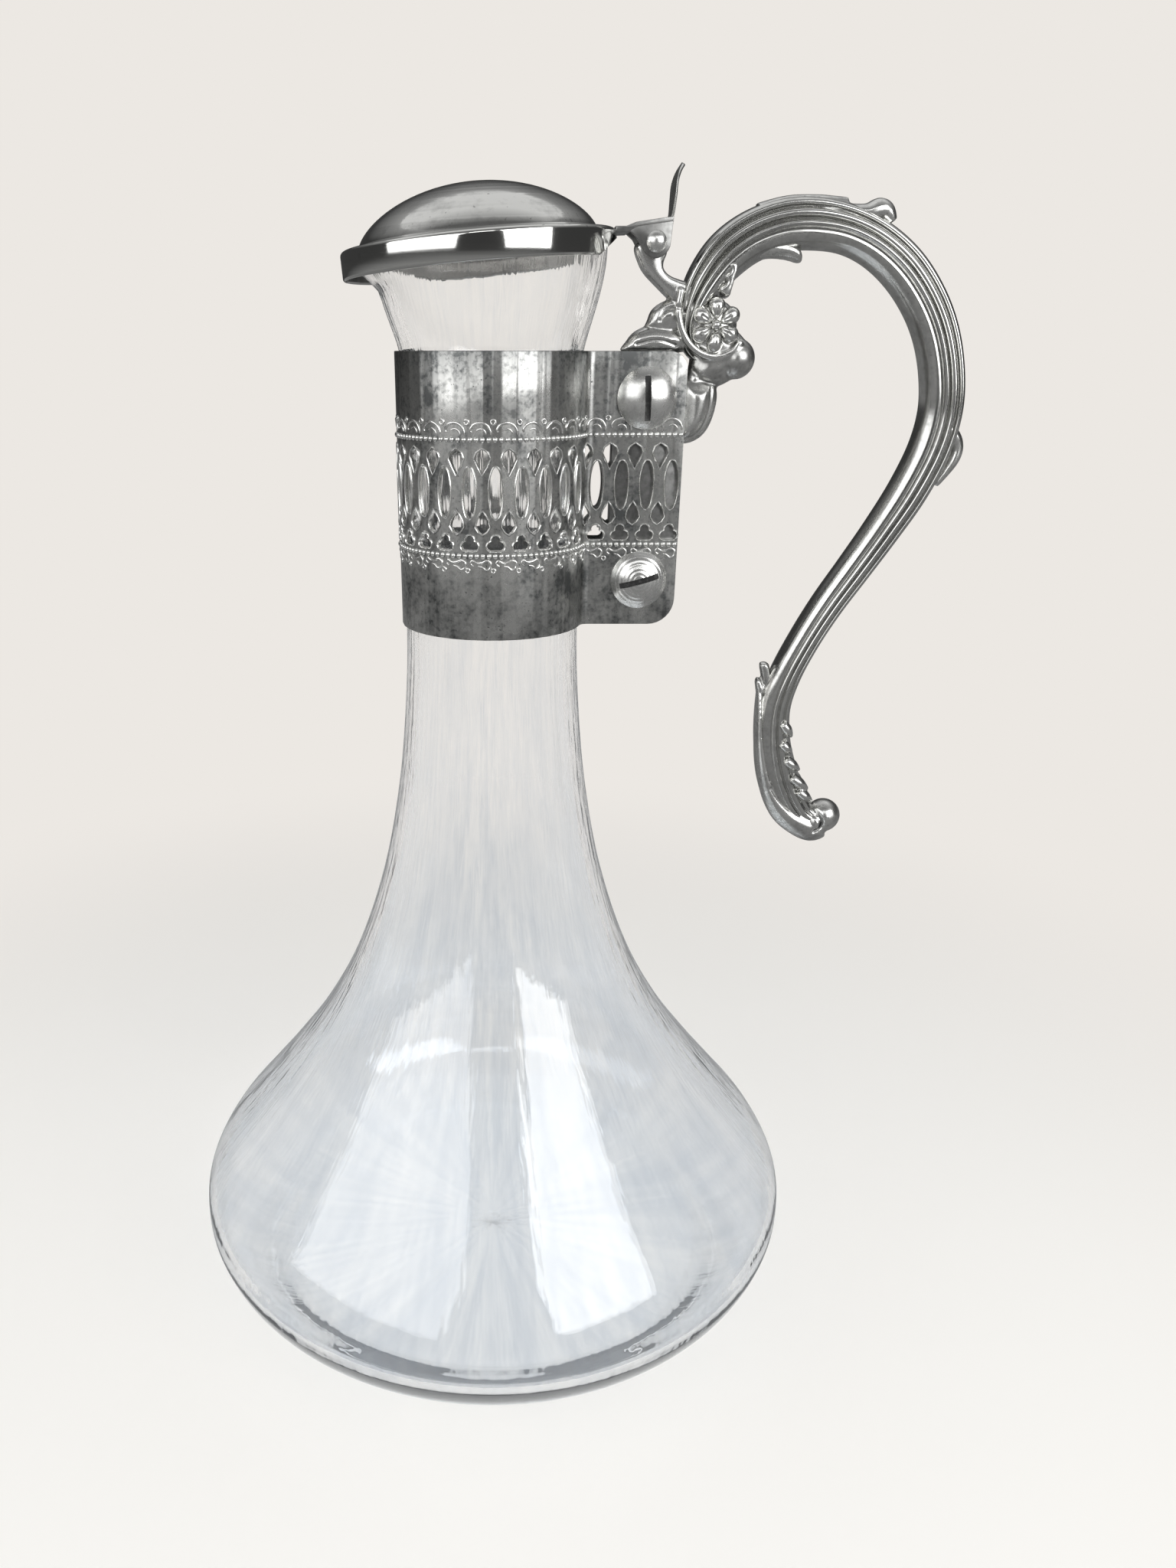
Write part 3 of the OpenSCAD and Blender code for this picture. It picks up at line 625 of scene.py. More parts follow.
def strip_place(u):
    """The point of the outer face at u, and the way out of it, seen from above."""
    if u > STRIP_LENGTH / 2:
        point, out = strip_place(STRIP_LENGTH - u)
        return Vector((point[0], -point[1])), Vector((out[0], -out[1]))
    if u < EAR_LENGTH:
        return Vector((EAR_X - u, -EAR_HALF)), Vector((0, -1))
    if u < EAR_LENGTH + BEND_LENGTH:
        angle = math.pi / 2 + (u - EAR_LENGTH) / BEND_OUT
        arm = Vector((math.cos(angle), math.sin(angle)))
        return Vector((BEND_X, -BEND_Y)) + BEND_OUT * arm, -arm
    turned = (u - EAR_LENGTH - BEND_LENGTH) / COLLAR_OUT
    out = Vector((math.cos(BEND_ANGLE + turned), -math.sin(BEND_ANGLE + turned)))
    return flat_radius(turned) * out, out


def wrap(bm):
    """Moves every vertex from its flat place (u, h, z) to its place round the neck."""
    for vert in bm.verts:
        point, out = strip_place(vert.co.x)
        x, y = point + vert.co.y * out
        vert.co = (x, y, vert.co.z)


# %% [markdown]
# The openings stand in four rows: kites, long ovals, drops and trefoils. Kites and drops share a column,
# and so do ovals and trefoils. On the band the columns are evenly spaced, and on the ears they have their
# own spacing.

# %% Where the openings are
OVAL_Z, KITE_Z, DROP_Z, TREFOIL_Z = 217, 223.4, 210.8, 206.6
UPPER_BEADS_Z = 227.7
LOWER_BEADS_Z = 203.9
BAND_COLUMNS = 21
FIRST_COLUMN = math.radians(25.6)
column_step = (math.tau - 2 * FIRST_COLUMN) / (BAND_COLUMNS - 1)
ear_oval_u = [EAR_X - x for x in (40.7, 35.1, 29.4, 23.8)]
ear_kite_u = [EAR_X - x for x in (37.9, 32.2, 26.6, 21)]


def band_u(angle):
    return EAR_LENGTH + BEND_LENGTH + COLLAR_OUT * (angle - BEND_ANGLE)


oval_u = (ear_oval_u + [band_u(FIRST_COLUMN + i * column_step) for i in range(BAND_COLUMNS)]
          + [STRIP_LENGTH - u for u in ear_oval_u])
kite_u = (ear_kite_u + [band_u(FIRST_COLUMN + (i + 0.5) * column_step) for i in range(BAND_COLUMNS - 1)]
          + [STRIP_LENGTH - u for u in ear_kite_u])


def arc(x, z, radius, start, stop, steps):
    """Points on an arc, angles in degrees."""
    turns = [math.radians(start + (stop - start) * k / steps) for k in range(steps + 1)]
    return [Vector((x + radius * math.cos(a), z + radius * math.sin(a))) for a in turns]


def both_halves(half):
    """An outline from one half of it, which starts and ends on the middle line."""
    return [Vector(p) for p in half] + [Vector((-x, z)) for x, z in reversed(half[1:-1])]


OVAL_HALF_WIDTH, OVAL_HALF_HEIGHT = 1.4, 5.2
LOBE_R = 0.9

oval_turns = [math.tau * k / 28 for k in range(28)]
oval = [Vector((OVAL_HALF_WIDTH * math.cos(a), OVAL_HALF_HEIGHT * math.sin(a))) for a in oval_turns]
kite = both_halves([(0, -2.6), (0.8, -1.05), (1.55, 0.5), (1.15, 1.65), (0, 2.4)])
drop = both_halves([(0, 2.5), (-0.6, 1.5), (-1.15, 0.6), (-1.5, -0.7), (-0.8, -1.75), (0, -2.3)])
trefoil = (arc(0.95, -0.6, LOBE_R, -90, 62, 7) + arc(0, 0.75, LOBE_R, -22, 202, 9)
           + arc(-0.95, -0.6, LOBE_R, 118, 270, 7))
openings = ([(oval, u, OVAL_Z) for u in oval_u] + [(trefoil, u, TREFOIL_Z) for u in oval_u]
            + [(kite, u, KITE_Z) for u in kite_u] + [(drop, u, DROP_Z) for u in kite_u])
print("openings:", len(openings))


# %% [markdown]
# An outline that goes round anticlockwise grows when each point moves along the average of its two edges'
# outward directions. The sheet has holes a little wider than the openings, and each opening then gets a
# raised rim: a closed ring of seven outlines that climbs off the sheet, rolls over and drops through the
# hole.


# %% Outlines that grow
def grown(outline, distance):
    """The outline moved outwards by a distance, all round."""
    moved = []
    for before, point, after in zip(outline[-1:] + outline[:-1], outline, outline[1:] + outline[:1]):
        first, second = (point - before).normalized(), (after - point).normalized()
        out = Vector((first[1] + second[1], -first[0] - second[0]))
        stretch = min(1.6, 2 / max(0.1, out.length))
        moved.append(point + out.normalized() * distance * stretch)
    return moved


def flat_ring(outline, distance, height):
    return [(p[0], height, p[1]) for p in grown(outline, distance)]


# %% Cut the sheet
HOLE_EXTRA = 0.22
EAR_TOP_CORNER = 4
EAR_LOW_CORNER = 6
SHEET_ROUND = 0.18
FLAT_CUTS = (0.001, 0.08, 0.5, 0.92)  # shares of a flat: the sharp edge, its two sides and the middle
PIERCED_DIRT_AND_SHADE, BEAD_DIRT_AND_SHADE = 0.66, 0.95


def strip_outline():
    low, high, far = collar_low.z, collar_high.z, STRIP_LENGTH
    return (arc(EAR_LOW_CORNER, low + EAR_LOW_CORNER, EAR_LOW_CORNER, 180, 270, 8)
            + arc(far - EAR_LOW_CORNER, low + EAR_LOW_CORNER, EAR_LOW_CORNER, 270, 360, 8)
            + arc(far - EAR_TOP_CORNER, high - EAR_TOP_CORNER, EAR_TOP_CORNER, 0, 90, 8)
            + arc(EAR_TOP_CORNER, high - EAR_TOP_CORNER, EAR_TOP_CORNER, 90, 180, 8))


def fold_lines():
    """Where the strip needs an upright cut so that it can bend."""
    lines = []
    for start in (EAR_LENGTH, STRIP_LENGTH - EAR_LENGTH - BEND_LENGTH):
        lines += [start + BEND_LENGTH * k / 8 for k in range(9)]
    for flat in range(FLATS):
        start = EAR_LENGTH + BEND_LENGTH + BAND_LENGTH * flat / FLATS
        lines += [start + BAND_LENGTH / FLATS * share for share in FLAT_CUTS]
    return lines


def collar_dirt_and_shade(place):
    """Darker along the rows of beads and the upper edge and, a little, between the rows: tarnish, and painted
    shade beside the beads and rims that stand on the sheet.
    """
    nearest = min(abs(place.z - z) for z in (UPPER_BEADS_Z, LOWER_BEADS_Z, collar_high.z))
    pierced = LOWER_BEADS_Z < place.z < UPPER_BEADS_Z
    return max(PIERCED_DIRT_AND_SHADE if pierced else 0.5, BEAD_DIRT_AND_SHADE - 0.3 * nearest)


def on_outer_border(edge):
    """Whether an edge of the flat strip is on its outer face and on its outline, not on an opening."""
    first, second = (v.co for v in edge.verts)
    if edge.calc_face_angle(0) <= 1 or min(first.y, second.y) <= -0.1:
        return False
    from_middle = min(abs(first.x - STRIP_LENGTH / 2), abs(second.x - STRIP_LENGTH / 2))
    return (min(first.z, second.z) < collar_low.z + EAR_LOW_CORNER
            or max(first.z, second.z) > collar_high.z - EAR_TOP_CORNER
            or from_middle > STRIP_LENGTH / 2 - 0.1)


def make_collar_sheet():
    bm = bmesh.new()
    chain(bm, [(p[0], 0, p[1]) for p in strip_outline()], closed=True)
    for outline, u, z in openings:
        chain(bm, [(u + x, h, z + y) for x, h, y in flat_ring(outline, HOLE_EXTRA, 0)], closed=True)
    bmesh.ops.triangle_fill(bm, use_beauty=True, use_dissolve=False, edges=bm.edges[:], normal=(0, 1, 0))
    for u in fold_lines():
        slice_all(bm, (u, 0, 0), (1, 0, 0))
    for face in bm.faces:
        if face.normal.y < 0:
            face.normal_flip()
    print("flat sheet:", len(bm.faces), "faces")
    bmesh.ops.solidify(bm, geom=bm.faces[:], thickness=COLLAR_T)
    print("sheet spans h from", min(v.co.y for v in bm.verts), "to", max(v.co.y for v in bm.verts))
    round_edges(bm, [e for e in bm.edges if on_outer_border(e)], SHEET_ROUND)
    wrap(bm)
    sheet = finish_piece("collar_sheet", bm, "jug", collar_metal, sharp=25, hollows=(3, 0.2),
                         dirt_and_shade=collar_dirt_and_shade)
    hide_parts("neck_collar")


make_collar_sheet()

# %% Raise a rim round each opening
RIM_PROFILE = [(0.42, -0.05), (0.36, 0.18), (0.2, 0.29), (0.05, 0.17), (0, -0.1), (0, -COLLAR_T),
               (0.3, -COLLAR_T)]


def make_opening_rims():
    bm = bmesh.new()
    for outline in (oval, kite, drop, trefoil):
        rings = [flat_ring(outline, distance, height) for distance, height in RIM_PROFILE]
        rim = small_mesh(lambda one: draw_ring(one, rings, ends="join"))
        stamp(bm, rim, [Vector((u, 0, z)) for shape, u, z in openings if shape is outline])
    wrap(bm)
    finish_piece("opening_rims", bm, "jug", relief_metal, sharp=70, hollows=(2, 0.25))


make_opening_rims()

# %% [markdown]
# Above and below the openings runs a row of beads, and beyond each row a line of small scrolls with a ring
# between each two. All of them are thin raised lines, so one helper lays a half-round line along a path on
# the flat sheet.

# %% Beads and scrolls
BEAD_PITCH = 1.35
BEAD_R = 0.6
SCROLL_PITCH = column_step * COLLAR_OUT
RING_LINE = 0.24

outer_arch = [(-2.3, 0.1), (-2.2, 0.9), (-1.5, 2), (-0.1, 2.5), (1.3, 2.1), (2, 1.2), (1.9, 0.6)]
inner_arch = [(-1.3, 0.2), (-1, 0.9), (-0.2, 1.3), (0.7, 1)]
pinched_loop = [(0.5, -0.9), (-0.4, -1.1), (-1.2, -1.7), (-2.1, -1.3), (-2.2, -0.2), (-1.4, 0.3),
                (-0.3, -0.1), (0.8, -0.2), (1.8, 0.3), (2.2, -0.4), (1.6, -0.9)]


def raised_line(bm, path, radius):
    """A half-round line along a path of (u, z) points, thinner towards its ends."""
    rings = []
    for i, point in enumerate(path):
        side = sideways(path, i)
        thin = radius * (0.6 + 0.4 * math.sin(math.pi * i / (len(path) - 1)))
        ring = []
        for k in range(6):
            angle = math.pi * (k * 1.3 / 5 - 0.15)
            across = point + side * thin * math.cos(angle)
            ring.append((across[0], thin * math.sin(angle), across[1]))
        rings.append(ring)
    draw_ring(bm, rings)


def upper_scroll(bm):
    """An arch with a smaller one in it, and a ring beside it."""
    raised_line(bm, smooth_line(outer_arch, 4), 0.32)
    raised_line(bm, smooth_line(inner_arch, 4), 0.22)
    raised_line(bm, arc(SCROLL_PITCH / 2, 2.6, 0.5, 0, 360, 12), RING_LINE)


def lower_scroll(bm):
    """A long loop pinched in the middle, and a ring beside it."""
    raised_line(bm, smooth_line(pinched_loop, 4), 0.3)
    raised_line(bm, arc(SCROLL_PITCH / 2, -1.9, 0.46, 0, 360, 12), RING_LINE)


def bead(bm):
    bmesh.ops.create_uvsphere(bm, u_segments=8, v_segments=5, radius=BEAD_R)
    bmesh.ops.scale(bm, vec=(1, 0.8, 1), verts=bm.verts[:])


def make_collar_relief():
    bm = bmesh.new()
    count = round(STRIP_LENGTH / BEAD_PITCH)
    bead_u = [STRIP_LENGTH * (k + 0.5) / count for k in range(count)]
    stamp(bm, small_mesh(bead), [Vector((u, 0, z)) for u in bead_u for z in (UPPER_BEADS_Z, LOWER_BEADS_Z)])
    scrolls = round(STRIP_LENGTH / SCROLL_PITCH)
    scroll_u = [STRIP_LENGTH * (k + 0.5) / scrolls for k in range(scrolls)]
    stamp(bm, small_mesh(upper_scroll), [Vector((u, 0, UPPER_BEADS_Z + 0.9)) for u in scroll_u])
    stamp(bm, small_mesh(lower_scroll), [Vector((u, 0, LOWER_BEADS_Z - 1.2)) for u in scroll_u])
    wrap(bm)
    finish_piece("collar_relief", bm, "jug", relief_metal, sharp=80, hollows=(2, 0.3))
    print("beads in a row:", count, "scrolls in a row:", scrolls)


make_collar_relief()

# %% [markdown]
# ## The handle
# The handle is a bold scroll of cast metal. Its section isn't round: the outer part of each side has three
# reeds with sharp grooves between them, and the inner part is one smooth roll. The section is drawn along
# the middle line of the scroll, and each station gives the place, half the width in the plane of the
# handle, the share of the full depth, and how strong the reeds are. The reeded side lists places from the
# outer edge to the inner one with the share of the depth that each has, and its dips are the grooves.

# %% Draw the scroll
SCROLL_DEPTH = 5
scroll_stations = [
    (53.2, 248.4, 0.9, 0.5, 0.3), (51.6, 245, 1.4, 0.6, 0.5), (48, 243.6, 1.7, 0.66, 0.8),
    (44.6, 244.8, 1.9, 0.72, 1), (42.8, 248.4, 2.2, 0.8, 1), (43.4, 253, 3.1, 0.9, 1),
    (45.6, 257.8, 4.3, 1, 1), (49.6, 263, 5, 1, 1), (54.9, 266.8, 5.1, 1, 1), (61.5, 269, 5.1, 1, 1),
    (68.4, 269.3, 5, 1, 1), (75.4, 268.1, 4.7, 1, 1), (82, 265.2, 4.7, 1, 1), (88.1, 260.6, 4.8, 1, 1),
    (93.2, 254.6, 4.8, 1, 1), (96.9, 248, 4.8, 1, 1), (99.3, 240.4, 4.8, 1, 1),
    (100.2, 232.6, 4.8, 1, 0.95), (98.9, 224.4, 4.75, 1, 0.85), (95.3, 215.4, 4.6, 0.98, 0.8),
    (90.4, 206.6, 4.3, 0.95, 0.75), (85.1, 198, 4.1, 0.92, 0.75), (79.7, 189.4, 3.95, 0.9, 0.7),
    (75.2, 181, 3.85, 0.88, 0.7), (71.5, 172.4, 3.9, 0.87, 0.7), (69.6, 164.4, 4.05, 0.87, 0.6),
    (69.9, 156, 4.5, 0.87, 0.6), (71.7, 148, 5.1, 0.86, 0.5), (74.6, 141, 5.2, 0.84, 0.4),
    (78.4, 135.8, 4.5, 0.8, 0.3), (82.4, 133.4, 4, 0.78, 0.2)]
reeded_side = [
    (0.96, 0.36), (0.88, 0.58), (0.78, 0.68), (0.68, 0.66), (0.6, 0.5), (0.56, 0.54), (0.48, 0.78),
    (0.36, 0.86), (0.24, 0.8), (0.17, 0.62), (0.13, 0.66), (0.05, 0.9), (-0.04, 0.97), (-0.13, 0.9),
    (-0.19, 0.74), (-0.25, 0.79), (-0.4, 0.82), (-0.6, 0.74), (-0.8, 0.52), (-0.94, 0.26)]
reeded_line = smooth_line([(1, 0)] + reeded_side + [(-1, 0)], 3)[1:-1]


def plain_depth(across):
    """The share of the half depth without reeds, at a place from 1 on the outer edge to -1 inside."""
    return max(0, 1 - abs(across) ** 2.4) ** 0.5


def scroll_rings():
    line = smooth_line(scroll_stations, 7)
    one_side = [tuple(p) for p in reeded_line]
    section = [(1, 0)] + one_side + [(-1, 0)] + [(across, -share) for across, share in reversed(one_side)]
    rings = []
    for i, (x, z, width, depth, reeds) in enumerate(line):
        out = sideways(line, i)
        ring = []
        for across, share in section:
            plain = math.copysign(0.9 * plain_depth(across), share)
            thick = plain + (share - plain) * reeds
            ring.append((x + out[0] * width * across, -SCROLL_DEPTH * depth * thick,
                         z + out[1] * width * across))
        rings.append(ring)
    return rings


def make_scroll():
    bm = bmesh.new()
    draw_ring(bm, scroll_rings())
    scroll = finish_piece("handle_scroll", bm, "jug", cast_metal, sharp=60, hollows=(8, 0.45))
    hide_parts("scroll_handle")


make_scroll()

# %% [markdown]
# The leaves, brackets and buds of a casting flow into each other, and no single extrusion does that. Here
# each is first a leaf, a rod or a ball. A leaf is an outline that is filled with small triangles, and then
# swells to both sides: it is round at its edge and crowns towards its middle. All of them then overlap in
# one mesh, a voxel remesh melts them into one skin, and a little smoothing rounds the joints like worn
# metal. Last, strokes are pressed into both faces, as a chaser's punch does.


# %% Distances for leaves
def gap_to(point, line):
    """How far a point is from a line of points."""
    best = 1e9
    for a, b in zip(line, line[1:]):
        along = b - a
        t = min(1, max(0, (point - a).dot(along) / along.length_squared))
        best = min(best, (point - a - t * along).length)
    return best


# %% Leaves, rods and balls
LEAF_MESH = 0.8
ROD_SIDES = 14


def leaf(bm, stations, edge, roll, crown=0.0, reach=3.0):
    """A cast leaf that is `edge` thick on each side at its rolled edge, and `crown` more in its middle."""
    outline = smooth_line(stations, 3, closed=True)
    flat = bmesh.new()
    chain(flat, [(p[0], 0, p[1]) for p in outline], closed=True)
    bmesh.ops.triangle_fill(flat, use_beauty=True, use_dissolve=False, edges=flat.edges[:], normal=(0, 1, 0))
    for _ in range(5):
        long_edges = [e for e in flat.edges if e.calc_length() > LEAF_MESH]
        bmesh.ops.subdivide_edges(flat, edges=long_edges, cuts=1)
        bmesh.ops.triangulate(flat, faces=flat.faces[:])
    closed = outline + outline[:1]
    for vert in flat.verts:
        gap = gap_to(Vector((vert.co.x, vert.co.z)), closed)
        rounded = math.sqrt(1 - (1 - min(1, gap / roll)) ** 2)
        vert.co.y = edge * rounded + crown * ease((gap - roll / 2) / reach)
    stamp(bm, into_mesh("half leaf", flat), [Matrix.Identity(4), Matrix.Scale(-1, 4, (0, 1, 0))])
    bmesh.ops.remove_doubles(bm, verts=bm.verts[:], dist=0.001)


def rod(bm, stations, y=0.0):
    """A rod in the plane of the handle, or one on each face at +y and -y.

    A station is (x, z, radius, depth share).
    """
    line = smooth_line(stations, 4)
    for side in ((y, -y) if y else (0,)):
        rings = []
        for i, (x, z, radius, share) in enumerate(line):
            out = sideways(line, i)
            ring = []
            for k in range(ROD_SIDES):
                angle = math.tau * k / ROD_SIDES
                ring.append((x + out[0] * radius * math.cos(angle), side + radius * share * math.sin(angle),
                             z + out[1] * radius * math.cos(angle)))
            rings.append(ring)
        draw_ring(bm, rings)


def ball(bm, x, z, radius, half):
    """A ball in the middle of the handle. half is its radius across the handle."""
    made = bmesh.ops.create_uvsphere(bm, u_segments=24, v_segments=16, radius=1)["verts"]
    bmesh.ops.scale(bm, vec=(radius, half, radius), verts=made)
    bmesh.ops.translate(bm, vec=(x, 0, z), verts=made)


# %% Melt pieces together
def melted(bm, voxel, smoothing):
    """One skin round everything in the bmesh."""
    rough = add_object("melt", bm)
    remesh = rough.modifiers.new("melt", "REMESH")
    remesh.mode = "VOXEL"
    remesh.voxel_size = voxel
    skin = bpy.data.meshes.new_from_object(rough.evaluated_get(bpy.context.evaluated_depsgraph_get()))
    bpy.data.objects.remove(rough)
    bm = bmesh.new()
    bm.from_mesh(skin)
    relax(bm, smoothing)
    return bm


def press(bm, stations, width, depth):
    """Presses a stroke into both faces. A negative depth raises a ridge."""
    line = smooth_line(stations, 4)
    low = [min(p[k] for p in line) - 2 * width for k in (0, 1)]
    high = [max(p[k] for p in line) + 2 * width for k in (0, 1)]
    for vert in bm.verts:
        x, y, z = vert.co
        if low[0] < x < high[0] and low[1] < z < high[1] and abs(vert.normal.y) > 0.2:
            gap = gap_to(Vector((x, z)), line)
            if gap < 2 * width:
                vert.co.y -= math.copysign(depth * math.exp(-2 * (gap / width) ** 2) * abs(vert.normal.y), y)


# %% The leaves round the eye of the scroll
left_leaf = [(28.9, 244.4), (29.3, 246.6), (31, 248.6), (33.4, 249.7), (36, 250), (39, 249.6),
             (42.4, 248.4), (43, 244.6)]
lobe_above = [(33.8, 249.2), (33.9, 251.2), (34.7, 253), (36.6, 254.4), (39, 255), (42.5, 255.4),
              (44, 251), (40, 248.6)]
body_of_casting = [(40.3, 256), (39.9, 252), (41, 248.4), (43.3, 245.4), (43.3, 241), (42.6, 238),
                   (46, 237.3), (50, 237.5), (53.2, 239), (56.2, 241.8), (56.8, 245), (54.6, 248),
                   (51, 251), (46, 256)]
lower_leaf = [(41.4, 238.6), (45, 239.6), (49, 238.8), (50.2, 236), (49.9, 232.4), (48.6, 228.8),
              (46.4, 226.5), (43.5, 225.6), (41.4, 226.6), (41, 232)]
lug_arm = [(30.4, 265.4), (31, 262.4), (32.5, 259.9), (35.1, 257.5), (37.4, 255.5), (39.3, 254.2),
           (43, 253), (44.4, 257.4), (40.6, 258.8), (38.3, 259.6), (36.9, 260.9), (36.9, 262.4),
           (37.4, 264.4), (34.4, 266.4)]
arch_leaf = [(50.4, 257.4), (52.4, 260.2), (55.6, 262), (59, 262.7), (62.6, 262.5), (65.6, 261.8),
             (66.3, 262.9), (65.2, 265), (60, 266.4), (54, 264.6), (50, 260.6)]
crinkled_leaf = [(51.4, 262.4), (49.4, 261.6), (50.3, 260.4), (48.5, 259.5), (49.6, 258.2), (47.9, 257.1),
                 (49, 255.6), (51, 255.2), (52, 258.4), (52.6, 261.4)]
volute_rim = [(40.5, 257), (40, 252.8), (41, 249), (43.1, 245.9), (46.2, 244), (49.6, 243.6),
              (52.4, 244.8), (53.9, 246.8)]


def make_eye_leaves(bm):
    leaf(bm, left_leaf, 2.5, 1.7, crown=1.0)
    leaf(bm, lobe_above, 2.2, 1.2, crown=0.8)
    leaf(bm, body_of_casting, 2.6, 2.4, crown=1.2)
    leaf(bm, lower_leaf, 2.5, 1.5, crown=1.9, reach=3.4)
    leaf(bm, lug_arm, 2.45, 0.8, crown=0.3)
    leaf(bm, arch_leaf, 2.8, 1.3, crown=0.8)
    leaf(bm, crinkled_leaf, 4.3, 0.6)
    ball(bm, 53.7, 243.2, 4.2, 4.9)
    rod(bm, [(x, z, 0.8, 1) for x, z in volute_rim], y=3.7)


# %% The leaves along the scroll
tail_lobes = [((71.4, 161), (74.2, 157.4)), ((71.6, 156), (74.6, 153.2)), ((73, 151.6), (77, 148.8)),
              ((75, 147), (79.6, 143.8)), ((77, 143.4), (81, 140.4))]
crest_leaf = [(56, 271.6, 1.6, 1.8), (62, 272.9, 1.7, 1.6), (68, 273.2, 1.6, 1.5), (72.5, 273.3, 1.2, 1.4),
              (74.9, 273.6, 0.7, 1.3)]
crest_curl = [(66, 271.6, 1.4, 2), (72, 271.9, 1.5, 1.9), (76, 271.5, 1.6, 1.8), (79, 271.3, 1.9, 1.7),
              (81.4, 271.9, 2.3, 1.4), (83, 271.4, 2, 1.4), (84.4, 269.6, 1.2, 1.8)]
back_bud = [(100.4, 231, 1, 2.2), (103.4, 227.8, 1.7, 1.7), (105, 225, 1.6, 1.5), (104.4, 221.8, 1.5, 1.6),
            (101.4, 216.8, 0.9, 1.8)]
upper_spur = [(65, 175.3), (66.4, 175.7), (67.5, 175), (68, 173), (68.8, 170), (67.2, 168), (66.2, 170),
              (65.5, 172.6)]
lower_spur = [(64.3, 171), (65, 171.9), (66.2, 170.6), (67.4, 167.6), (67.2, 162), (65.6, 163), (64.8, 168)]
tail_band = [(65.6, 168, 0.6, 3.4), (65.9, 163, 0.8, 4.2), (66.5, 157, 1.1, 3.4), (67.5, 151.6, 1.4, 2.8),
             (69, 146, 1.8, 2.3), (71.2, 141.2, 2.5, 1.7), (74.4, 136.9, 3.2, 1.36), (78.2, 134.2, 3.7, 1.16),
             (82, 132.7, 4, 1.04), (84.6, 133.3, 3.6, 1)]


def make_scroll_leaves(bm):
    """The two tips on the crest, the bud on the back, and the spurs and curled leaves of the tail."""
    for stations in (crest_leaf, crest_curl, back_bud):
        rod(bm, stations)
    leaf(bm, upper_spur, 1.5, 0.8)
    leaf(bm, lower_spur, 1.7, 0.8)
    rod(bm, tail_band)
    ball(bm, 84.9, 135.7, 4.3, 4.4)
    ball(bm, 83, 134.2, 4.1, 4.2)
    for root, tip in tail_lobes:
        middle = Vector(root).lerp(Vector(tip), 0.5)
        rod(bm, [(*root, 1.2, 1.5), (*middle, 1.35, 1.4), (*tip, 0.35, 1.2)], y=3)


# %% Melt and chase them
CAST_VOXEL = 0.28
strokes = [  # width, depth and stations of each
    (0.5, 0.5, [(31.6, 246.2), (34.4, 246.9), (37, 246.9), (40, 246)]),
    (0.5, 0.4, [(36.4, 250.8), (37.2, 252.6), (39.4, 253.4), (42, 252.6)]),
    (0.8, 0.5, [(41.6, 244.6), (43.6, 241.4), (46.8, 238.8), (50, 238)]),
    (0.35, 0.35, [(48.4, 237.4), (48.2, 233.4), (47.2, 230), (45.2, 227.6), (43, 226.9)]),
    (0.4, 0.3, [(60, 263.6), (63, 263.6), (65.6, 262.6)]),
    (0.45, 0.35, [(66.2, 167.6), (66.5, 162.2), (67.2, 157), (68.3, 151.7), (69.9, 146.3)]),
    (0.6, 0.7, [(79.6, 138.8), (81.6, 138.4), (82.9, 137), (83.9, 135.4), (83.6, 133.6), (82, 132.6)]),
    (0.55, -0.45, [(70.1, 144.3), (72.1, 141.5), (74.9, 139.1), (78.3, 137.7), (82, 136.6), (83.4, 135.3),
                   (83.3, 133.6)])]


def make_leaves():
    bm = bmesh.new()
    make_eye_leaves(bm)
    make_scroll_leaves(bm)
    bm = melted(bm, CAST_VOXEL, 5)
    bm.normal_update()
    for width, depth, stations in strokes:
        press(bm, stations, width, depth)
    finish_piece("cast_leaves", bm, "jug", leaf_metal, sharp=180, hollows=(10, 0.22))


make_leaves()

# %% [markdown]
# The eye of the scroll holds a flower with six petals on each face. A petal is a ball, drawn out long and
# narrowed towards the middle, with a crease pressed along its inner half. The six are copies turned about
# a small ball in the middle, and a wide ball between the two faces carries both flowers.

# %% The flowers
EYE_X, EYE_Z = 48.2, 249.85
EYE_R = 5.2
EYE_HALF = 3.8
PETALS = 6
PETAL_LONG, PETAL_WIDE, PETAL_THICK = 2.25, 1.95, 1.9
PETAL_AT = 3.3
BUTTON_R, BUTTON_HALF = 1.15, 1.8


def petal(bm):
    made = bmesh.ops.create_uvsphere(bm, u_segments=32, v_segments=20, radius=1)["verts"]
    bmesh.ops.scale(bm, vec=(PETAL_LONG, PETAL_THICK, PETAL_WIDE), verts=made)
    for vert in made:
        outward = (vert.co.x + PETAL_LONG) / (2 * PETAL_LONG)
        crease = math.exp(-((vert.co.z / 0.18) ** 2)) * ease((0.7 - outward) / 0.2)
        vert.co.y *= 1 - 0.15 * crease
        vert.co.z *= 0.6 + 0.4 * ease(outward * 1.2)
    bmesh.ops.translate(bm, vec=(PETAL_AT, 0, 0), verts=made)


def make_flowers():
    bm = bmesh.new()
    one = small_mesh(petal)
    middle = small_mesh(lambda m: ball(m, 0, 0, BUTTON_R, BUTTON_HALF))
    disc = small_mesh(lambda m: ball(m, 0, 0, EYE_R, EYE_HALF + 0.5))
    for side in (-1, 1):
        face = Matrix.Translation((EYE_X, side * EYE_HALF, EYE_Z))
        turns = [Matrix.Rotation(math.radians(30 + k * 360 / PETALS), 4, "Y") for k in range(PETALS)]
        stamp(bm, one, [face @ turned for turned in turns])
        stamp(bm, middle, [face @ Matrix.Translation((0, side * 0.6, 0))])
    stamp(bm, disc, [Vector((EYE_X, 0, EYE_Z))])
    finish_piece("eye_flowers", bm, "jug", leaf_metal, sharp=70, hollows=(8, 0.18))


make_flowers()

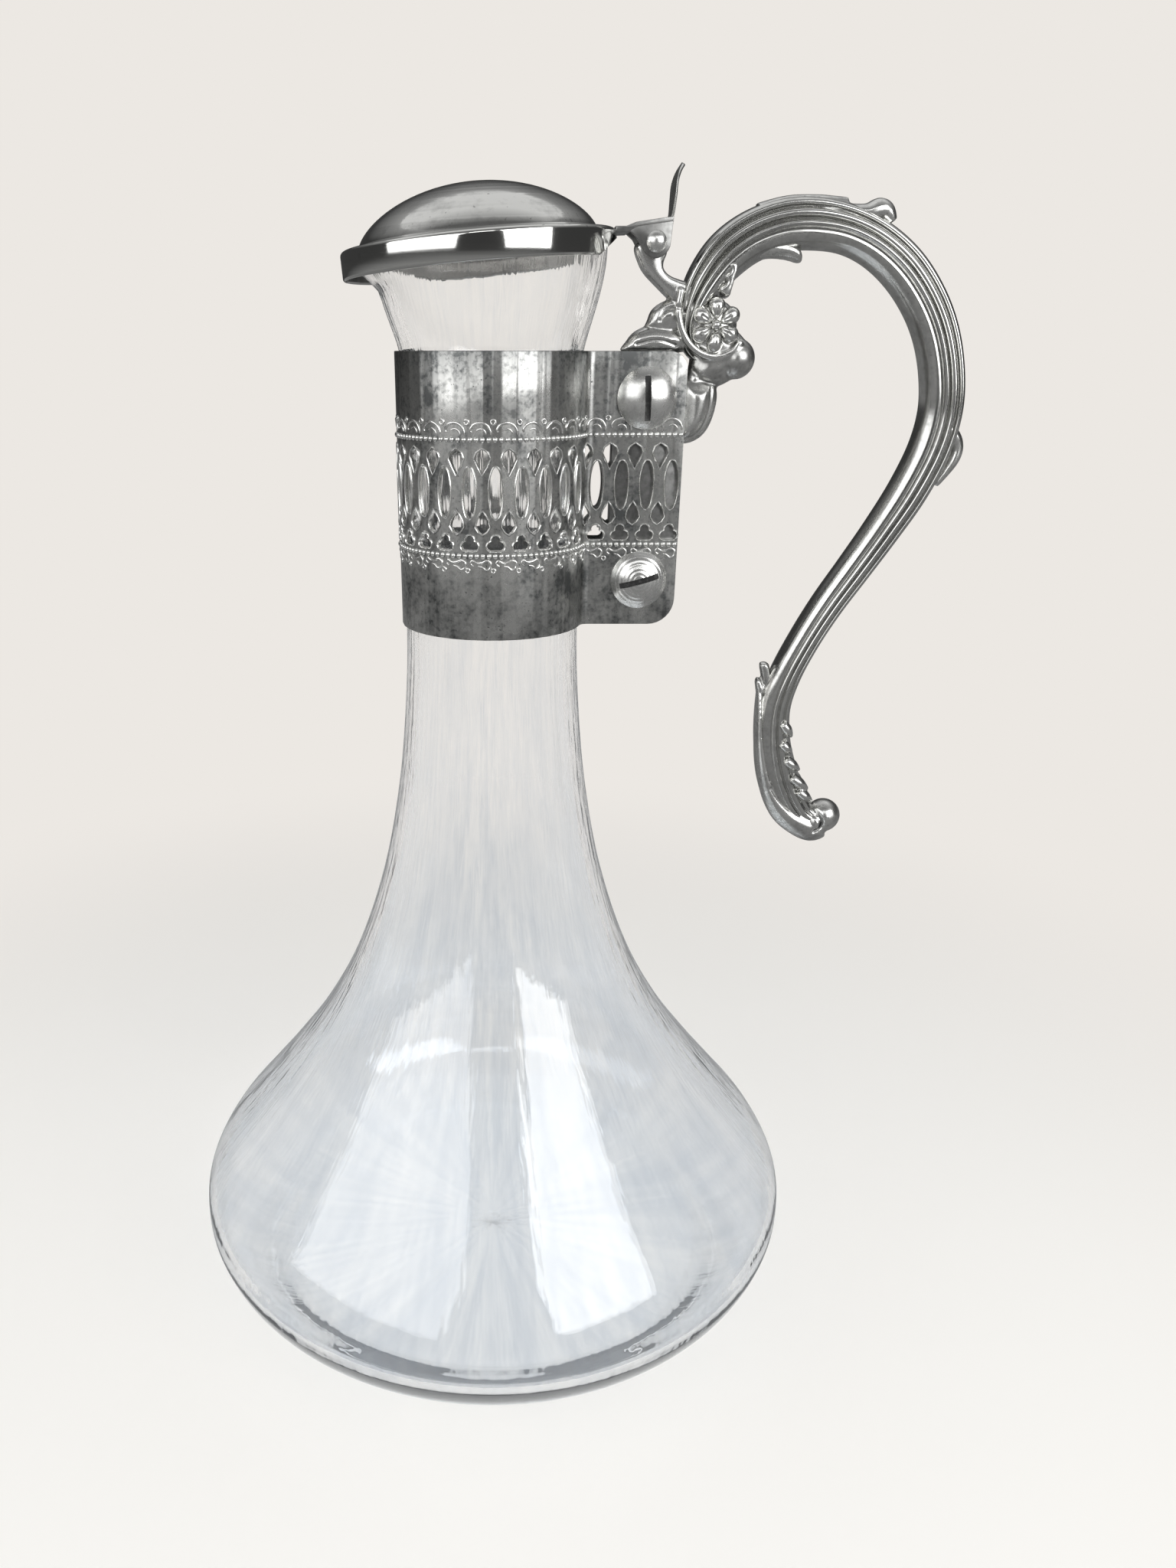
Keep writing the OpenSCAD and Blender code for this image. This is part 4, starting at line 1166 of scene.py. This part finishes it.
# %% [markdown]
# Between the ears of the collar the casting ends in a flat tang that the screws go through, and above it a
# round lug takes the hinge pin. Both are plain plates, so they are outlines that are extruded and bevelled.
# Their holes aren't cut here, because the screws and the pin hide them.


# %% Plates
def plate(bm, outline, y_from, y_to, bevel):
    """A flat plate across the handle with small rounds along its edges."""
    verts, edges = chain(bm, [(p[0], y_from, p[1]) for p in outline], closed=True)
    face = bmesh.ops.contextual_create(bm, geom=edges)["faces"][0]
    made = bmesh.ops.extrude_face_region(bm, geom=[face])["geom"]
    far = [g for g in made if isinstance(g, bmesh.types.BMVert)]
    bmesh.ops.translate(bm, vec=(0, y_to - y_from, 0), verts=far)
    both = set(verts) | set(far)
    rims = [e for e in bm.edges if e.verts[0] in both and e.verts[1] in both
            and abs(e.verts[0].co.y - e.verts[1].co.y) < 1e-6]
    round_edges(bm, rims, bevel)


HINGE_X, HINGE_Z = 34.6, 265.7
LUG_T = 5.8
LUG_R = 2.6
TANG_X = 27
TANG_SHY, TANG_SHY_LOW, TANG_SHY_TOP = 0.3, 0.6, 0.2  # how far the tang stays inside the ears' outline


def make_tang():
    bm = bmesh.new()
    low, high = TANG_X, EAR_X - TANG_SHY
    bottom, top = collar_low.z + TANG_SHY_LOW, collar_high.z - TANG_SHY_TOP
    corners = (arc(high - EAR_LOW_CORNER, bottom + EAR_LOW_CORNER, EAR_LOW_CORNER, 270, 360, 8)
               + arc(high - EAR_TOP_CORNER, top - EAR_TOP_CORNER, EAR_TOP_CORNER, 0, 90, 8))
    plate(bm, [Vector((low, bottom))] + corners + [Vector((low, top))], -TANG_HALF, TANG_HALF, 0.3)
    plate(bm, arc(HINGE_X, HINGE_Z, LUG_R, 0, 345, 23), -LUG_T / 2, LUG_T / 2, 0.25)
    # Below the collar's top the tang stands between the ears, and a higher hollow value paints shade on it
    # there.
    finish_piece("tang_and_lug", bm, "jug", cast_metal, sharp=25,
                 dirt_and_shade=lambda place: 0.85 if place.z < collar_high.z else 0.5)


make_tang()

# %% [markdown]
# ## The lid
# The lid is two spun pieces: a dome, and a flat ledge that turns down into a skirt round the glass. Both
# are turned upright and then leaned with the lid. Beside the hinge the skirt is cut away on a slant, so
# that it clears the glass when the lid opens, and one plane through the mesh makes that cut.

# %% Lid sizes
DOME_R = 25.4
DOME_H = 11
DOME_FULLNESS = 1.3
LEDGE_ROUND = 0.9
LEDGE_UNDER = 2  # how far the ledge reaches in under the dome
SKIRT_LOW = 0.45
SKIRT_CUT_AT, SKIRT_CUT_OUT = (20, 0, 260.6), (6.6, 0, -7.2)
LID_FRAME = Matrix.Translation((LID_X, 0, LID_Z)) @ Matrix.Rotation(-LID_TILT, 4, "Y")


def dome_line(radius, height):
    turns = [math.pi / 2 * (1 - k / 24) for k in range(25)]
    return [Vector((radius * math.sin(a), SKIRT_H + height * math.cos(a) ** DOME_FULLNESS)) for a in turns]


# %% Turn the dome
def make_dome():
    bm = bmesh.new()
    foot = [(DOME_R - SHEET, SKIRT_H), (DOME_R + 0.1, SKIRT_H), (DOME_R + 0.25, SKIRT_H + 0.25),
            (DOME_R + 0.02, SKIRT_H + 0.6)]
    inside = dome_line(DOME_R - SHEET, DOME_H - SHEET)[::-1]
    turn(bm, [Vector(p) for p in foot] + dome_line(DOME_R, DOME_H)[1:] + inside, sides=160)
    move_all(bm, LID_FRAME)
    dome = finish_piece("spun_dome", bm, "lid", lid_metal, sharp=45)
    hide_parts("lid_dome")


make_dome()


# %% Turn the ledge and skirt
def make_ledge():
    inner, under = DOME_R - LEDGE_UNDER, SKIRT_H - SHEET
    shoulder = arc(SKIRT_R - LEDGE_ROUND, SKIRT_H - LEDGE_ROUND, LEDGE_ROUND, 0, 90, 6)
    lip = arc(SKIRT_R - SHEET / 2, SKIRT_LOW, SHEET / 2, 180, 360, 6)
    back = [Vector(p) for p in ((inner, SKIRT_H), (inner, under), (SKIRT_R - SHEET - 0.3, under))]
    bm = bmesh.new()
    turn(bm, lip + shoulder + back + lip[:1], sides=160)
    move_all(bm, LID_FRAME)
    cut = slice_all(bm, SKIRT_CUT_AT, SKIRT_CUT_OUT, clear=True)
    bmesh.ops.holes_fill(bm, edges=[g for g in cut["geom_cut"] if isinstance(g, bmesh.types.BMEdge)], sides=0)
    ledge = finish_piece("spun_ledge", bm, "lid", lid_metal, sharp=45)
    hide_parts("lid_rim")


make_ledge()

# %% [markdown]
# ## The hinge
# A strap is soldered to the ledge and carries two ears, one on each side of the handle's lug, with the pin
# through all three and riveted over at both ends. A curved thumbpiece stands on the end of the strap.

# %% Strap and ears
KNUCKLE_IN = LUG_T / 2 + 0.2
KNUCKLE_T = 1.2
STRAP_HALF = KNUCKLE_IN + KNUCKLE_T
KNUCKLE_R = 3.05
strap_outline = [(26, 267.4), (28.6, 267.5), (30.4, 268.3), (37.95, 269.35), (38, 270.4), (30.2, 269.35),
                 (28.2, 268.6), (26, 268.6)]
ear_front = [(28.9, 267.7), (30.3, 266.6), (31.6, 264.5)]
ear_top = [(37.95, 269.6), (30.4, 268.7)]


def make_strap():
    bm = bmesh.new()
    plate(bm, [Vector(p) for p in strap_outline], -STRAP_HALF, STRAP_HALF, 0.15)
    below = arc(HINGE_X, HINGE_Z, KNUCKLE_R, 205, 345, 10)
    ear = [Vector(p) for p in ear_front] + below + [Vector(p) for p in ear_top]
    for side in (-1, 1):
        inner, outer = sorted((side * KNUCKLE_IN, side * STRAP_HALF))
        plate(bm, ear, inner, outer, 0.2)
    # An even hollow value of 0.8 darkens the whole strap and both ears: painted shade that dims their bright
    # reflections.
    strap = finish_piece("hinge_ears", bm, "lid", cast_metal, sharp=25, dirt_and_shade=lambda place: 0.8)
    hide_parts("hinge_strap")


make_strap()

# %% Thumbpiece
thumb_line = [(37.5, 269.6), (37.95, 271.2), (38.15, 274), (38.3, 276.6), (38.9, 278.7), (39.9, 280.3)]
THUMB_T = 0.9
THUMB_W = 9
THUMB_WAIST = 0.62  # the foot's width, as a share
THUMB_SIDES = 24


def make_thumbpiece():
    """A curved leaf: wide and round at the top, waisted at its foot."""
    line = smooth_line(thumb_line, 5)
    rings = []
    for i, (x, z) in enumerate(line):
        share = i / (len(line) - 1)
        out = sideways(line, i)
        widening = THUMB_WAIST + (1 - THUMB_WAIST) * ease(share * 2.2)
        rounded_end = math.sqrt(max(0.004, 1 - max(0, (share - 0.55) / 0.45) ** 2.4))
        half = THUMB_W / 2 * widening * rounded_end
        ring = []
        for k in range(THUMB_SIDES):
            angle = math.tau * k / THUMB_SIDES
            across, thick = math.cos(angle), math.copysign(abs(math.sin(angle)) ** 0.6, math.sin(angle))
            edge = THUMB_T / 2 * thick
            ring.append((x + out[0] * edge, half * across, z + out[1] * edge))
        rings.append(ring)
    bm = bmesh.new()
    draw_ring(bm, rings)
    thumb = finish_piece("thumb_leaf", bm, "lid", leaf_metal, sharp=50)
    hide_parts("thumbpiece")


make_thumbpiece()

# %% [markdown]
# ## Screws, nuts and rivets
# Each is a low dome on a short cylinder, turned in one go. A screw's slot is sawn afterwards: two pairs of
# planes cut the dome on both sides of the slot, and whatever lies between them sinks to the slot's floor.

# %% Domed heads
SCREW_X = 34.2
UPPER_SCREW_Z = 235.3
LOWER_SCREW_Z = 195.9
HEAD_R = 6.5
HEAD_H = 3.2
HEAD_RIM = 0.5
SLOT_W = 1.2
SLOT_DEPTH = 1.25
SLOT_SLANT = 0.06
SHANK_R = 2
SHANK_END = 3.2
FOOT_BEVEL = 0.1
LATHE_PITCH = 0.9


def domed(radius, rim, height, steps=14):
    """Half the outline of a dome, from its foot to its top."""
    cap = height - rim
    sphere = (radius**2 + cap**2) / (2 * cap)
    reach = math.asin(min(1, radius / sphere))
    turns = [reach * (1 - k / steps) for k in range(steps + 1)]
    foot = [(0, 0), (radius - FOOT_BEVEL, 0), (radius, FOOT_BEVEL)]
    return [Vector(p) for p in foot] + [
        Vector((sphere * math.sin(a), height - sphere + sphere * math.cos(a))) for a in turns]


def facing(x, y, z, side):
    """Turns a piece that stands on the ground to stand on a face that looks along +Y or -Y."""
    return Matrix.Translation((x, y, z)) @ Matrix.Rotation(-side * math.pi / 2, 4, "X")


def saw_slot(bm, width, floor):
    """A slot along X through the top of a dome that stands on the ground."""
    for offset in (width / 2, width / 2 + SLOT_SLANT):
        for side in (-1, 1):
            slice_all(bm, (0, side * offset, 0), (0, 1, 0))
    for vert in bm.verts:
        if abs(vert.co.y) < width / 2 + 0.001:
            vert.co.z = min(vert.co.z, floor)


def make_screw(name, z, slot_angle, ripple):
    """A turned and slotted screw. ripple is how high the lathe's rings stand on its head."""
    head = domed(HEAD_R, HEAD_RIM, HEAD_H, steps=60)[2:]
    waves = [ripple * math.sin(math.tau * r / LATHE_PITCH) * ease(HEAD_R - r) for r, _ in head]
    head = [Vector((r, up + wave)) for (r, up), wave in zip(head, waves)]
    end = -2 * EAR_HALF - SHANK_END
    shank = [Vector(p) for p in ((0, end), (SHANK_R, end), (SHANK_R, 0), (HEAD_R - FOOT_BEVEL, 0))]
    bm = bmesh.new()
    turn(bm, shank + head, sides=128)
    floor = HEAD_H - SLOT_DEPTH
    saw_slot(bm, SLOT_W, floor)
    slant = math.radians(slot_angle)
    along = Vector((math.cos(slant), 0, math.sin(slant)))
    move_all(bm, facing(SCREW_X, -EAR_HALF, z, -1) @ Matrix.Rotation(slant, 4, "Z"))

    def slot_dirt(place):
        """Dirt fills the slot, from its floor up."""
        from_middle = place - Vector((SCREW_X, place.y, z))
        aside = (from_middle - along * from_middle.dot(along)).length
        return 1 if aside < SLOT_W / 2 + 0.01 and -place.y - EAR_HALF > floor - 0.01 else 0

    screw = finish_piece(name + "_turned", bm, "jug", bright_metal, dirt_and_shade=slot_dirt)
    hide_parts(name)


make_screw("upper_screw", UPPER_SCREW_Z, slot_angle=92, ripple=0)
make_screw("lower_screw", LOWER_SCREW_Z, slot_angle=15, ripple=0.025)


# %% Nuts
NUT_R, NUT_RIM, NUT_H = 4.6, 1.4, 4.4


def make_nuts():
    for name, z in (("upper_nut", UPPER_SCREW_Z), ("lower_nut", LOWER_SCREW_Z)):
        bm = bmesh.new()
        turn(bm, domed(NUT_R, NUT_RIM, NUT_H), sides=64)
        move_all(bm, facing(SCREW_X, EAR_HALF, z, 1))
        nut = finish_piece(name + "_dome", bm, "jug", bright_metal)
        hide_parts(name)


make_nuts()


# %% The hinge rivet
PIN_R = 1.3
RIVET_R = 2.1
RIVET_RIM = 0.3
RIVET_H = 1.3
RIVET_GAP = 0.02


def make_rivet():
    """A pin with a domed head at each end, turned in one go and laid across the hinge."""
    seat = STRAP_HALF + RIVET_GAP
    head = [Vector((r, seat + up)) for r, up in domed(RIVET_R, RIVET_RIM, RIVET_H)[1:]]
    half = [Vector((PIN_R, seat))] + head
    bm = bmesh.new()
    turn(bm, [Vector((r, -up)) for r, up in reversed(half)] + half, sides=64)
    move_all(bm, facing(HINGE_X, 0, HINGE_Z, -1))
    rivet = finish_piece("hinge_rivet", bm, "lid", bright_metal)
    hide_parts("hinge_pin")


make_rivet()

# %% [markdown]
# ## Floor and light
# The jug stands on a wide pale floor that fades into the same pale colour as the background, so no horizon
# shows. It lies a hair below the glass, because light must cross a thin layer of air to leave the glass,
# and without that layer the foot would look like a grey disc.

# %% Floor
BACKDROP = (0.839, 0.807, 0.768, 1)
FLOOR_TINT = (0.96, 0.945, 0.912, 1)
FADE_FROM, FADE_TO = 0.14, 0.42
AIR_GAP = 0.3
GROUND_R = 12  # in metres


def stage_piece(name, bm, material):
    """An object in metres that belongs to the studio and not to the jug."""
    piece = add_object(name, bm)
    piece.data.materials.append(material)
    return piece


def make_floor():
    material, tree, shader = new_material("floor")
    feed(tree, shader, {"Base Color": FLOOR_TINT, "Roughness": 0.85, "Specular IOR Level": 0.1})
    distance = add(tree, "ShaderNodeVectorMath", {0: object_place(tree)}, operation="LENGTH").outputs["Value"]
    fade = add(tree, "ShaderNodeMapRange", {0: distance, 1: FADE_FROM, 2: FADE_TO},
               interpolation_type="SMOOTHSTEP")
    glow = add(tree, "ShaderNodeEmission", {"Color": BACKDROP, "Strength": 1.0})
    mix = add(tree, "ShaderNodeMixShader", {0: fade.outputs[0], 1: shader.outputs[0], 2: glow.outputs[0]})
    show(tree, mix.outputs[0])
    bm = bmesh.new()
    bmesh.ops.create_circle(bm, cap_ends=True, segments=96, radius=GROUND_R)
    bmesh.ops.translate(bm, vec=(0, 0, -AIR_GAP * MM), verts=bm.verts[:])
    stage_piece("floor", bm, material)


make_floor()

# %% [markdown]
# The world does two jobs. It lights the jug dimly and evenly, and to the camera, in reflections and through
# the glass it is the same pale colour as the far floor. The Light Path node tells these rays from the rest.

# %% World
AMBIENT = 0.44


def make_world():
    world = bpy.data.worlds.new("studio")
    bpy.context.scene.world = world
    world.use_nodes = True
    tree = world.node_tree
    background = tree.nodes["Background"]
    path = tree.nodes.new("ShaderNodeLightPath").outputs
    bent = maths(tree, "MAXIMUM", path["Is Glossy Ray"], path["Is Transmission Ray"])
    seen = maths(tree, "MAXIMUM", path["Is Camera Ray"], bent)
    tree.links.new(blend(tree, seen, (AMBIENT, AMBIENT, AMBIENT, 1), BACKDROP), background.inputs["Color"])


make_world()

# %% [markdown]
# Two large softboxes stand in front, left and right of the camera, with a dark gap between them, and a
# small one bridges the gap higher up. Their reflections are the bright blocks on the lid, the lines on the
# handle and the pale windows in the glass. The last lamp hangs above and only fills in.


# %% Lights
LAMP_AIM = Vector((0, 0, 120))


def softbox(name, azimuth, height, distance, width, tall, power):
    """A softbox, in metres. Azimuth 0 is straight behind the camera, and positive is to the right."""
    light = bpy.data.lights.new(name, "AREA")
    light.shape = "RECTANGLE"
    light.size, light.size_y = width, tall
    light.energy = power
    turned = math.radians(azimuth)
    lamp = bpy.data.objects.new(name, light)
    lamp.location = (distance * math.sin(turned), -distance * math.cos(turned), height)
    away = lamp.location - LAMP_AIM * MM
    lamp.rotation_euler = away.to_track_quat("Z", "Y").to_euler()
    bpy.context.scene.collection.objects.link(lamp)
    return lamp


softbox("left window", azimuth=-47, height=0.54, distance=0.9, width=1.15, tall=0.6, power=4.6)
softbox("right window", azimuth=41, height=0.54, distance=0.9, width=0.69, tall=0.6, power=5.4)
softbox("bridge", azimuth=1.5, height=0.86, distance=0.86, width=0.34, tall=0.14, power=0.4)
overhead = softbox("overhead", azimuth=180, height=1.3, distance=0.25, width=1.2, tall=0.9, power=1.5)
overhead.visible_glossy = False

# %% [markdown]
# Polished metal shows the room, and a white room would make it look like paper. So sheets stand all round,
# above, and on the floor that glow with their own grey and that only reflections see: painted reflections of
# a dark room. Their tone isn't even, because no room's is. The walls are dark as high as the lamps and
# lighter above them, with a pale strip along the foot, and the ceiling is dark over the camera and pale
# behind the jug.

# %% Glowing sheets for painted reflections
ROOM_R, ROOM_H = 1.25, 1.5  # in metres
TABLE_FROM, TABLE_TO = 0.085, 1.24


def reflection_sheet(name, bm, tone):
    """A sheet that glows with its own grey and that only reflections see: a painted reflection. tone is a
    function that makes its grey from the nodes and a place.
    """
    material, tree, _ = new_material(name)
    material.cycles.emission_sampling = "NONE"
    axes = add(tree, "ShaderNodeSeparateXYZ", {0: object_place(tree)}).outputs
    glow = add(tree, "ShaderNodeEmission", {"Color": tone(tree, axes), "Strength": 1.0})
    show(tree, glow.outputs[0])
    piece = stage_piece(name, bm, material)
    piece.visible_camera = False
    piece.visible_diffuse = False
    piece.visible_transmission = False
    piece.visible_shadow = False


def wall_tone(tree, axes):
    """Dark to the height of the lamps, then lighter, with a pale strip along the foot."""
    raised = remap(tree, axes["Z"], 0.7, ROOM_H, 0.05, 0.4)
    low = remap(tree, axes["Z"], 0.05, 0.2, 0.2, 0.0)
    return maths(tree, "ADD", raised, low)


def ceiling_tone(tree, axes):
    return remap(tree, axes["Y"], -0.6, 0.3, 0.15, 0.8)


def table_tone(tree, axes):
    return remap(tree, axes["Y"], -ROOM_R, 0.3, 0.3, 0.2)


def make_dark_room():
    walls = bmesh.new()
    turn(walls, [(ROOM_R, 0), (ROOM_R, ROOM_H)], sides=64)
    reflection_sheet("dark walls", walls, wall_tone)
    ceiling = bmesh.new()
    bmesh.ops.create_circle(ceiling, cap_ends=True, segments=64, radius=ROOM_R)
    bmesh.ops.translate(ceiling, vec=(0, 0, ROOM_H), verts=ceiling.verts[:])
    reflection_sheet("dark ceiling", ceiling, ceiling_tone)
    table = bmesh.new()
    turn(table, [(TABLE_FROM, MM / 10), (TABLE_TO, MM / 10)], sides=64)
    reflection_sheet("dark table", table, table_tone)


make_dark_room()

# %% [markdown]
# Last, colours are shown as they are rendered, without a film's curve.

# %% Finish
bpy.context.scene.view_settings.view_transform = "Standard"
